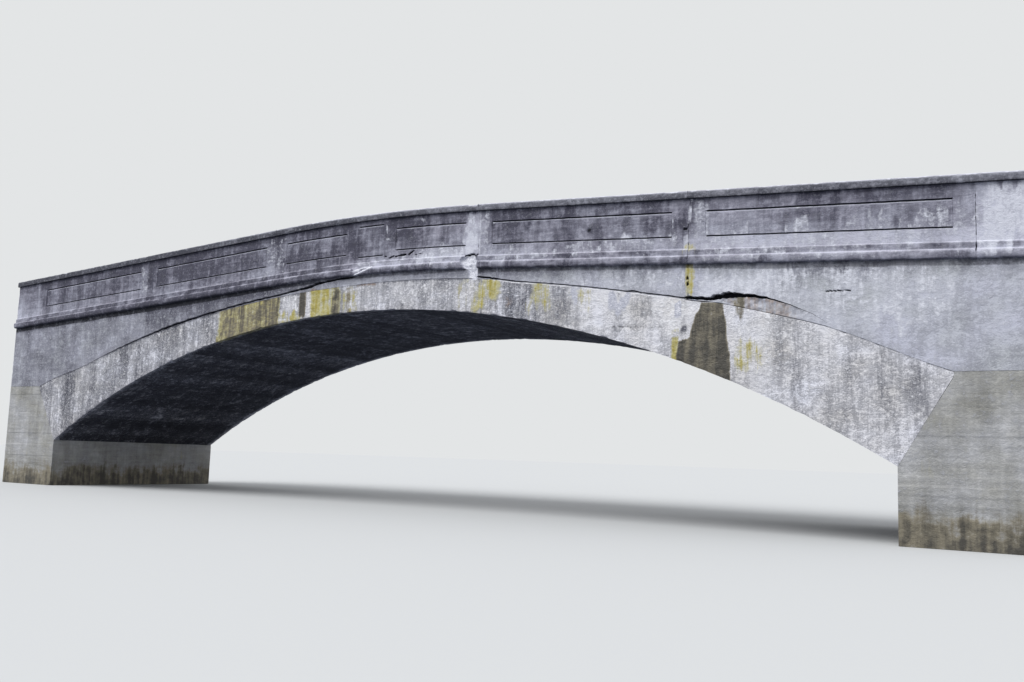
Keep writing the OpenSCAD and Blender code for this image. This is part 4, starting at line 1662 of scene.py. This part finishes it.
@dataclass(frozen=True)
class Spandrels:
    """The walls between the ring and the string course, with the open crack over the ring on the front."""

    road: RoadLine
    arch: ArchLines
    wall_face: float
    thickness: float = 0.400
    foot: float = 1.312
    closing: float = 0.006
    step: float = 0.030
    back_step: float = 0.044
    row: float = 0.030
    wedge_rows: int = 7

    def crack(self, x: Grid, side: Side) -> tuple[Grid, Grid, Grid]:
        """Height over the ring's line, width and depth of the open crack, from its table, with ragged lips.

        Args:
            x: Places along the bridge.
            side: Face of the bridge; the back is whole.

        Returns:
            Height, width and depth at each place.
        """
        if side is Side.BACK:
            return 0 * x + 0.012, 0 * x + 0.001, 0 * x
        places, *columns = zip(*OPEN_CRACK)
        rise, width, depth = (np.interp(x, places, column) for column in columns)
        lips = 0.12 * rough(x, x * 0, 0.12, Seed.GAP_RISE) + 0.16 * rough(x, x * 0, 0.035, Seed.GAP_LIPS, 1)
        rise = rise + width * lips
        width = width * (1 + 0.25 * rough(x, x * 0 + 3, 0.05, Seed.GAP_WIDTH)) + 0.001
        return np.maximum(rise, 0.008), width, depth

    def lines(self, x: Grid, side: Side) -> GapLines:
        """Lines that bound the wall and the crack in it.

        Args:
            x: Places along the bridge.
            side: Face of the bridge.

        Returns:
            The lines, each with one value a place.
        """
        low, top = self.arch.back(x, 1.0 if side is Side.FRONT else 0.0), self.road.height(x, self.foot)
        rise, width, depth = self.crack(x, side)
        rise = np.minimum(rise, top - low - width - 0.012)
        # The seam under the loose wedge is itself open
        gape = smooth(0.03, 0.07, rise) * smooth(7.2, 7.5, x)
        return GapLines(low, top, self.arch.back(x), rise, width, depth, gape)

    def section(self, lines: GapLines) -> tuple[Grid, Grid]:
        """Section of the wall at every place, once round from the ring's line.

        Args:
            lines: The lines that bound the wall and the crack.

        Returns:
            Heights, and projections from the wall's face.
        """
        low, top, inner, rise, seam = lines.low, lines.top, lines.inner, lines.rise, lines.seam
        flat = 0 * low
        wedge = np.linspace(0, 1, self.wedge_rows + 2)[None, 1:-1]
        count = max(10, round(float((top - low).max()) / self.row))
        rows = np.linspace(0, 1, count)[None, 1:]
        over = low + rise + lines.width
        heights = [low, low + seam, low + seam + (rise - seam) * wedge, low + rise, low + rise, over, over]
        heights += [over + (top - over) * rows, top, top, (top + inner) / 2, inner, (inner + low) / 2]
        out = [-0.007 - 0.018 * lines.gape, flat, flat + 0 * wedge, flat, -lines.depth, -lines.depth, flat]
        out += [flat + 0 * rows, flat - 0.2, flat - 0.4, flat - 0.4, flat - 0.4, flat - 0.2]
        return np.concatenate(heights, axis=1), np.concatenate(out, axis=1)

    def wall(self, bay: Bay, side: Side) -> Skin:
        """One wall: rows from the ring's line to the string course, four of them at the lips of the crack.

        Args:
            bay: Where it starts and stops.
            side: Face of the bridge.

        Returns:
            The surface with its masks.
        """
        start, stop = bay.wall_start - self.closing, bay.wall_stop + self.closing
        zones = ((start, start + 0.05, 0.01), (stop - 0.05, stop, 0.01))
        if side is Side.FRONT:
            zones += ((-2.1, -0.3, 0.018), (2.2, 3.4, 0.012), (7.1, 9.3, 0.016), (9.55, 10.1, 0.012))
        step = self.step if side is Side.FRONT else self.back_step
        x = stations(start, stop, step, (), zones)[:, None]
        lines = self.lines(x, side)
        z, out = self.section(lines)
        front = (out > -0.01) | (np.arange(z.shape[1]) == 0)[None, :]
        key = side.value * 3
        lost, hurt = broken(x + 0 * z, z, side)
        away, inward = from_ends(x, start, stop)
        chip = chipped(x, z, away, Seed.CHIP + key)
        # The wedge under the open crack is loose rubble
        loose = smooth(0.05, 0.12, lines.rise) * (z < lines.low + lines.rise + 0.001)
        loose = loose * smooth(7.2, 7.5, x) * smooth(9.6, 8.8, x) * front
        lost = lost + 0.024 * loose * (0.6 + rough(x, z, 0.07, Seed.RUBBLE))
        worn = 0.004 * rough(x, z, 0.25, Seed.SPANDREL_WAVE + key)
        face = out - (lost + worn + 0.004 + 0.014 * chip) * front
        face = np.maximum(face, -self.thickness)
        nibble = crumbled(x, z, away, 0.014, 0.02, Seed.SPANDREL_END + key)
        points = np.stack([x + inward * nibble * front, side.value * (self.wall_face + face), z], axis=-1)
        marks = self.masks(x, z, side, lines, front, loose, hurt)
        return Skin(points, marks)

    def masks(
        self,
        x: Grid,
        z: Grid,
        side: Side,
        lines: GapLines,
        front: Grid,
        loose: Grid,
        hurt: dict[Mark, Grid],
    ) -> dict[Mark, Grid]:
        """Weathering of one wall, with the shade under the string course and the dark inside of the crack.

        Args:
            x: Places along the bridge.
            z: Heights above the floor.
            side: Face of the bridge.
            lines: The lines that bound the wall and the crack.
            front: Which points face outwards.
            loose: How far each point is loose rubble.
            hurt: Masks of the damage.

        Returns:
            One mask for each kind of weathering.
        """
        low, top, rise, depth, seam = lines.low, lines.top, lines.rise, lines.depth, lines.seam
        gap = np.zeros(z.shape, bool)
        gap[:, [self.wedge_rows + 3, self.wedge_rows + 4]] = True
        # Darker over the top 0.24 m below the string course, less so past x = 2.8
        soot = 0.36 + (0.28 - 0.14 * smooth(2.8, 4.5, x)) * smooth(0.24, 0.05, top - z)
        soot = soot - 0.14 * smooth(7.1, 7.6, x) + 0.26 * smooth(-0.5, -2.5, x)
        patches = SPANDREL_PATCHES if side is Side.FRONT else ()
        marks = weather(x + 0 * z, z, patches, np.where(front, soot, HIDDEN_SOOT))
        marks[Mark.RAW] = hurt[Mark.RAW] * front
        shadow = smooth(0.080, 0.0, low + rise - z) * loose * (0.5 + rough(x, z, 0.09, Seed.RUBBLE_SHADOW))
        held = marks[Mark.SOOT] * (1 - 0.85 * hurt[Mark.RAW]) + 0.8 * shadow
        marks[Mark.SOOT] = np.where(front, held, HIDDEN_SOOT)
        # Depth of the shade under the string course, which is worn flat towards the first joint
        shade = 0.072 + 0.024 * smooth(7.0, 8.5, x) + 0.040 * smooth(-2.6, -6.0, x)
        shade = shade + 0.010 * rough(x, x * 0, 0.5, Seed.SHADE)
        shade = shade * np.interp(x, (1.7, 2.3, 2.798, 2.802), (1.0, 0.5, 0.3, 1.0))
        # Painted shade under the string course and along the seam, partly a dark crust; black inside the open
        # crack
        shade_and_crust = (0.50 + 0.30 * smooth(-1.0, -3.4, x)) * smooth(shade + 0.016, shade - 0.004, top - z)
        seam_line = (z < low + 0.5 * seam) * np.maximum(0.8 * smooth(7.3, 7.6, x), 0.6 * smooth(2.7, 2.4, x))
        shade_and_crust = np.maximum(shade_and_crust, seam_line)
        shade_and_crust = np.maximum(shade_and_crust * (1 - marks[Mark.RAW]), hurt[Mark.SHADE_AND_CRUST])
        marks[Mark.SHADE_AND_CRUST] = np.where(gap & (depth > 0.01), 1.0, shade_and_crust * front)
        if side is Side.FRONT:
            marks[Mark.PALE] = np.maximum(marks[Mark.PALE], 0.45 * loose)
            marks[Mark.RUST] = np.maximum(marks[Mark.RUST], 0.52 * loose)
        return marks

    def build(self, bays: tuple[Bay, ...], finish: Material) -> None:
        """Builds the walls on both sides and hands each over to its CAD node.

        Args:
            bays: The bays.
            finish: The spandrels' concrete.
        """
        for side in Side:
            for bay in bays:
                node = f"{side.name.lower()}_{bay.name}_spandrel"
                cast(self.wall(bay, side), node, finish)


@dataclass(frozen=True)
class ArchRing:
    """The arch barrel: two long faces between the soffit and the back, and a soffit that shows its boards."""

    arch: ArchLines
    wall_face: float
    board: float = 0.172
    proud: float = 0.006
    step: float = 0.025

    def boards(self, run: Grid) -> tuple[Grid, Grid]:
        """Height of the soffit's skin by board: each board sits a little proud or shy of the next.

        Args:
            run: Distances along the soffit from the crown.

        Returns:
            The board's own offset in metres and its own tone from 0 to 1.
        """
        number = np.floor(run / self.board)
        value = lattice(np.stack([number + 0.5, number * 0, number * 0], axis=-1), Seed.BOARD_HEIGHT)
        other = lattice(np.stack([number + 0.5, number * 0 + 4, number * 0], axis=-1), Seed.BOARD_TONE)
        return self.proud * value, 0.5 + 0.5 * other

    def soot(self, x: Grid, z: Grid) -> Grid:
        """General soot of the front face: a table along the bridge, and darker within 5 cm of the top arris
        left of x = 2.8.

        Args:
            x: Places along the bridge.
            z: Heights above the floor.

        Returns:
            The soot.
        """
        arris = 0.25 * smooth(0.05, 0.0, self.arch.back(x, 1.0) - z) * smooth(3.0, 2.6, x)
        return np.interp(x, *RING_SOOT) + arris

    def face(self, side: Side, low: tuple[Grid, Grid], top_x: Grid) -> tuple[Grid, Grid, Grid]:
        """One long face: straight rows from the soffit's circle to the line of the back, with worn arrises.

        Args:
            side: Face of the bridge.
            low: Places and heights of the soffit's line.
            top_x: Places of the back's line.

        Returns:
            The points' places along, across and up.
        """
        rows = np.unique(np.concatenate([np.linspace(0, 1, 32), [0.006, 0.02, 0.98, 0.993]]))[None, :]
        order, askew = (rows, 1.0) if side is Side.FRONT else (rows[:, ::-1][:, ::2], 0.0)
        x = np.clip(low[0] + (top_x - low[0]) * order, -self.arch.shoulder, self.arch.shoulder)
        z = low[1] + (self.arch.back(top_x, askew) - low[1]) * order
        key = side.value * 9
        low_bite = np.clip(rough(x, z, 0.14, Seed.RING_FOOT + key) - 0.1, 0, 1) * smooth(0.03, 0.0, order)
        top_bite = np.clip(rough(x, z, 0.10, Seed.RING_TOP + key) - 0.05, 0, 1)
        top_bite = top_bite * smooth(0.985, 1.0, order)
        lumps = 0.004 * rough(x, z, 0.3, Seed.RING_WAVE + key)
        lumps = lumps + 0.007 * rough(x, z, 0.12, Seed.RING_GRAIN + key)
        lost = broken(x, z, side)[0]
        if side is Side.FRONT:
            # The upper arris is broken off where the open crack starts
            open_lip = smooth(7.16, 7.26, x) * smooth(7.72, 7.55, x)
            top_bite = top_bite + 0.9 * open_lip * smooth(0.985, 0.995, order)
            z = z - 0.014 * open_lip * smooth(0.985, 0.993, order)
        out = -0.008 - lumps - lost - 0.035 * low_bite - 0.025 * top_bite
        return x, side.value * (self.wall_face + out), z + 0.022 * low_bite

    def masks(self, x: Grid, y: Grid, z: Grid, tone: Grid) -> dict[Mark, Grid]:
        """Weathering of the barrel: the front's own stains, an even soot behind, and a soffit of soot and
        painted shade by board.

        Args:
            x: Places along the bridge.
            y: Places across it.
            z: Heights above the floor.
            tone: Tone of the soffit's boards, from 0 to 1.

        Returns:
            One mask for each kind of weathering.
        """
        front = y < -self.wall_face + 0.12
        back = y > self.wall_face - 0.12
        under = ~front & ~back & (z < self.arch.back(x) - 0.2)
        marks = weather(x, z, RING_PATCHES, self.soot(x, z))
        hurt = broken(x, z, Side.FRONT)[1]
        # Painted highlight along the top arris under the crack
        lip = smooth(0.030, 0.012, self.arch.back(x, 1.0) - z) * smooth(2.85, 2.95, x) * smooth(7.1, 6.9, x)
        marks[Mark.PALE] = np.maximum(marks[Mark.PALE], 0.75 * lip)
        for mark in MARKS_BUT_SOOT:
            marks[mark] = np.where(front, np.maximum(marks[mark], hurt.get(mark, 0)), 0)
        marks[Mark.SOOT] = np.where(back, 0.30, marks[Mark.SOOT])
        # The soffit: soot and painted shade, each board with its own tone
        marks[Mark.SOOT] = np.where(under, 0.95 + 0.35 * (tone - 0.5), marks[Mark.SOOT])
        marks[Mark.SHADE_AND_CRUST] = np.where(under, 0.55 + 0.35 * (tone - 0.5), marks[Mark.SHADE_AND_CRUST])
        return marks

    def build(self, finish: Material) -> None:
        """Builds the barrel from its front face, its lid under the fill, its back face and its soffit.

        Args:
            finish: The ring's concrete.
        """
        half = self.arch.skew * self.arch.soffit_radius
        count = int(half // self.board)
        edges = tuple(self.board * k for k in range(-count, count + 1))
        zones = ((2.6, 3.6, 0.016), (7.0, 8.4, 0.018))
        run = stations(-half, half, self.step, edges, zones, lip=0.006)[:, None]
        low = self.arch.soffit(run / half * self.arch.skew)
        offset, tone = self.boards(run)
        reach = self.arch.shoulder + 0.04
        top_x = run / half * reach
        inside = np.clip(top_x, -reach + 0.04, reach - 0.04)
        across = np.array([[-self.wall_face + 0.4, 0.0, self.wall_face - 0.4]])
        lid = inside + 0 * across, across + 0 * run, self.arch.back(top_x) + 0 * across
        across = np.linspace(self.wall_face, -self.wall_face, 26)[None, 1:-1]
        wave = 0.004 * rough(run, across + 0 * run, 0.5, Seed.SOFFIT_WAVE)
        soffit = low[0] + 0 * across, across + 0 * run, low[1] + offset + wave + 0.004
        parts = (self.face(Side.FRONT, low, top_x), lid, self.face(Side.BACK, low, top_x), soffit)
        x, y, z = (np.concatenate([part[i] for part in parts], axis=1) for i in range(3))
        skin = Skin(np.stack([x, y, z], axis=-1), self.masks(x, y, z, tone))
        cast(skin, "arch_barrel", finish)


@dataclass(frozen=True)
class Abutments:
    """The blocks behind the skewbacks, cast against level boards and stained at the foot."""

    arch: ArchLines
    wall_face: float
    end: float
    top: float
    length: float = 2.2
    board: float = 0.152
    proud: float = 0.005
    step: float = 0.056

    def block(self, left: bool) -> Skin:
        """One block: its plan, a rectangle whose inner side follows the skewback, carried up board by board.

        Args:
            left: True for the left-hand block.

        Returns:
            The surface with its masks.
        """
        edges = tuple(self.board * k for k in range(1, int(self.top / self.board) + 1))
        z = stations(0, self.top, 0.05, edges + (self.arch.springing,), (), lip=0.008)[:, None]
        lean = math.tan(self.arch.skew)
        inner = self.arch.half_span + (z - self.arch.springing) * lean
        inner = np.clip(inner, self.arch.half_span, self.arch.shoulder)
        along = np.linspace(0, 1, round(self.length / self.step))[None, :-1]
        wide = np.linspace(-1, 1, round(2 * self.wall_face / self.step))[None, :-1]
        x = [inner + (self.end - inner) * along, self.end + 0 * wide + 0 * z]
        x += [self.end + (inner - self.end) * along, inner + 0 * wide]
        y = [-1 + 0 * along, wide, 1 + 0 * along, -wide]
        out_x = [0 * along, 1 + 0 * wide, 0 * along, -1 + 0 * wide]
        out_y = [-1 + 0 * along, 0 * wide, 1 + 0 * along, 0 * wide]
        x = np.concatenate(x, axis=1)
        y, out_x, out_y = (np.concatenate(part, axis=1) + 0 * z for part in (y, out_x, out_y))
        run_x = np.diff(x, axis=1, prepend=x[:, :1])
        run_y = self.wall_face * np.diff(y, axis=1, prepend=y[:, :1])
        around = np.cumsum(np.hypot(run_x, run_y), axis=1)
        number = np.floor(z / self.board)
        middle = np.stack([number + 0.5, number * 0, number * 0], axis=-1)
        proud = self.proud * lattice(middle, Seed.BLOCK_BOARDS + left)
        skin = 0.006 + proud + 0.003 * rough(around, z, 0.3, Seed.BLOCK_WAVE + left)
        x, y = x - skin * out_x, self.wall_face * y - skin * out_y
        soot = 0.30 + 0.35 * smooth(0.9, 0.1, z + 0.25 * rough(around, z, 0.4, Seed.BLOCK_SOOT)) + 0 * x
        marks = weather(x, z + 0 * x, (), soot)
        damp = smooth(0.75, 0.05, z + 0.25 * rough(around, z, 0.35, Seed.BLOCK_DAMP))
        marks[Mark.DAMP] = damp * 0.85 + 0 * x
        lichen = smooth(0.2, 0.7, rough(around, z, 0.8, Seed.BLOCK_LICHEN))
        marks[Mark.LICHEN] = 0.35 * lichen * smooth(0.4, 0.8, z)
        return Skin(np.stack([-x if left else x, y, z + 0 * x], axis=-1), marks)

    def build(self, finish: Material) -> None:
        """Builds both blocks and hands each over to its CAD node.

        Args:
            finish: The abutments' concrete.
        """
        for left, node in ((True, "left_abutment"), (False, "right_abutment")):
            cast(self.block(left), node, finish)


@dataclass(frozen=True)
class Roadway:
    """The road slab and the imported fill, which keep their solids and take a finish."""

    def dress(self, surface: Material, fill: Material) -> None:
        """Gives the slab and the fill their finishes.

        Args:
            surface: The road's surface.
            fill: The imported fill.
        """
        for node, finish in (("road_slab", surface), ("road_fill", fill)):
            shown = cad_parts[node]
            shown.data.materials.clear()
            shown.data.materials.append(finish)
            LOG.info("%s: finish %s", node, finish.name)


@dataclass(frozen=True)
class Studio:
    """Pale floor, soft light and the camera of the photograph."""

    eye: tuple[float, float, float] = (13.5763, -18.6506, 1.1694)
    yaw: float = -0.556
    pitch: float = 0.1169
    roll: float = 0.0325
    lens: float = 34.40
    sensor: float = 36.0
    clip: tuple[float, float] = (0.1, 2000.0)
    floor_size: float = 400.0
    floor_drop: float = 0.004
    floor_seen: str = "#c4c6c7"
    floor_light: str = "#6f7480"
    backdrop: str = "#e3e5e6"
    sky_tone: str = "#fbfcff"
    sky: float = 0.80
    key_strength: float = 2.3
    key_width: float = math.radians(45)
    key_tilt: float = math.radians(38)
    key_turn: float = math.radians(-24)

    def camera(self) -> None:
        """Stands the camera at the eye, turned by yaw and pitch and then rolled about its own axis."""
        level = math.cos(self.pitch)
        ahead = np.array([math.sin(self.yaw) * level, math.cos(self.yaw) * level, math.sin(self.pitch)])
        right = np.array([math.cos(self.yaw), -math.sin(self.yaw), 0.0])
        up = np.cross(right, ahead)
        across = math.cos(self.roll) * right + math.sin(self.roll) * up
        above = -math.sin(self.roll) * right + math.cos(self.roll) * up
        data = bpy.data.cameras.new("camera")
        data.lens, data.sensor_width, data.sensor_fit = self.lens, self.sensor, "HORIZONTAL"
        data.clip_start, data.clip_end = self.clip
        made = bpy.data.objects.new("camera", data)
        turn = np.eye(4)
        turn[:3, 0], turn[:3, 1], turn[:3, 2], turn[:3, 3] = across, above, -ahead, self.eye
        made.matrix_world = Matrix(turn.tolist())
        bpy.context.scene.collection.objects.link(made)
        bpy.context.scene.camera = made

    def floor(self) -> None:
        """Lays a pale floor at the abutments' foot that gives back little light of its own under the arch."""
        material = bpy.data.materials.new("pale_floor")
        tree = fresh_tree(material)
        seen = add(tree, "ShaderNodeLightPath").outputs["Is Camera Ray"]
        tone = mix(tree, seen, linear(self.floor_light), linear(self.floor_seen))
        matt = add(tree, "ShaderNodeBsdfDiffuse", {"Color": tone})
        add(tree, "ShaderNodeOutputMaterial", {"Surface": matt.outputs[0]})
        half = self.floor_size / 2
        mesh = bpy.data.meshes.new("floor")
        signs = ((-1, -1), (1, -1), (1, 1), (-1, 1))
        corners = [(across * half, along * half, -self.floor_drop) for across, along in signs]
        mesh.from_pydata(corners, [], [(0, 1, 2, 3)])
        mesh.materials.append(material)
        made = bpy.data.objects.new("floor", mesh)
        bpy.context.scene.collection.objects.link(made)

    def light(self) -> None:
        """Sets an even pale surround and one broad soft key from above the front."""
        world = bpy.data.worlds.new("surround")
        bpy.context.scene.world = world
        tree = fresh_tree(world)
        path = add(tree, "ShaderNodeLightPath").outputs
        seen = path["Is Camera Ray"]
        for ray in ("Is Glossy Ray", "Is Transmission Ray"):
            seen = add(tree, "ShaderNodeMath", {0: seen, 1: path[ray]}, operation="MAXIMUM").outputs[0]
        pale = add(tree, "ShaderNodeBackground", {"Color": linear(self.backdrop), "Strength": 1.0})
        sky = add(tree, "ShaderNodeBackground", {"Color": linear(self.sky_tone), "Strength": self.sky})
        mixed = add(tree, "ShaderNodeMixShader", {0: seen, 1: sky.outputs[0], 2: pale.outputs[0]})
        add(tree, "ShaderNodeOutputWorld", {"Surface": mixed.outputs[0]})
        lamp = bpy.data.lights.new("key", "SUN")
        lamp.energy, lamp.angle = self.key_strength, self.key_width
        made = bpy.data.objects.new("key", lamp)
        made.rotation_euler = (self.key_tilt, 0.0, self.key_turn)
        bpy.context.scene.collection.objects.link(made)

    def build(self) -> None:
        """Builds the camera, the floor and the light."""
        self.camera()
        self.floor()
        self.light()
        bpy.context.scene.view_settings.view_transform = "Standard"
        LOG.info("studio: camera, floor and light")


def bays_of(names: tuple[str, ...]) -> tuple[Bay, ...]:
    """Reads where each bay starts and stops from its CAD nodes.

    Args:
        names: The bays' names in the frame.

    Returns:
        The bays.
    """
    found = []
    for name in names:
        low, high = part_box(f"front_{name}_parapet")
        wide_low, wide_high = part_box(f"front_{name}_spandrel")
        found.append(Bay(name, low.x, high.x, wide_low.x, wide_high.x))
    return tuple(found)


def main() -> None:
    """Builds the bridge's sub-assemblies in order, and the studio."""
    logging.basicConfig(level=logging.INFO, format="%(name)s %(message)s")
    barrel_low, barrel_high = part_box("arch_barrel")
    block_low, block_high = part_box("right_abutment")
    coping_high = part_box("front_right_coping")
    joint = (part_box("front_centre_coping")[1].x + coping_high[0].x) / 2
    road = RoadLine(top=CAD_BOX[1].z, joint=joint)
    arch = ArchLines(
        half_span=block_low.x, springing=barrel_low.z, shoulder=barrel_high.x, back_crown=barrel_high.z
    )
    face = barrel_high.y
    bays = bays_of(("far_left", "left", "centre", "right", "far_right"))
    posts = tuple(
        Bay(name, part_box(f"front_{name}")[0].x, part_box(f"front_{name}")[1].x, 0, 0)
        for name in ("left_end_post", "right_end_post")
    )

    parapet = PARAPET_CONCRETE.make()
    coping = COPING_CONCRETE.make()
    spandrel = SPANDREL_CONCRETE.make()
    ring = RING_CONCRETE.make()
    abutment = ABUTMENT_CONCRETE.make()
    surface = ROAD_SURFACE.make()
    fill = ROAD_FILL.make()

    Parapets(road, face).build(bays, posts, parapet)
    Copings(road, face).build(bays, coping)
    Spandrels(road, arch, face).build(bays, spandrel)
    ArchRing(arch, face).build(ring)
    Abutments(arch, face, end=block_high.x, top=block_high.z).build(abutment)
    Roadway().dress(surface, fill)
    Studio().build()


if __name__ == "__main__":
    main()
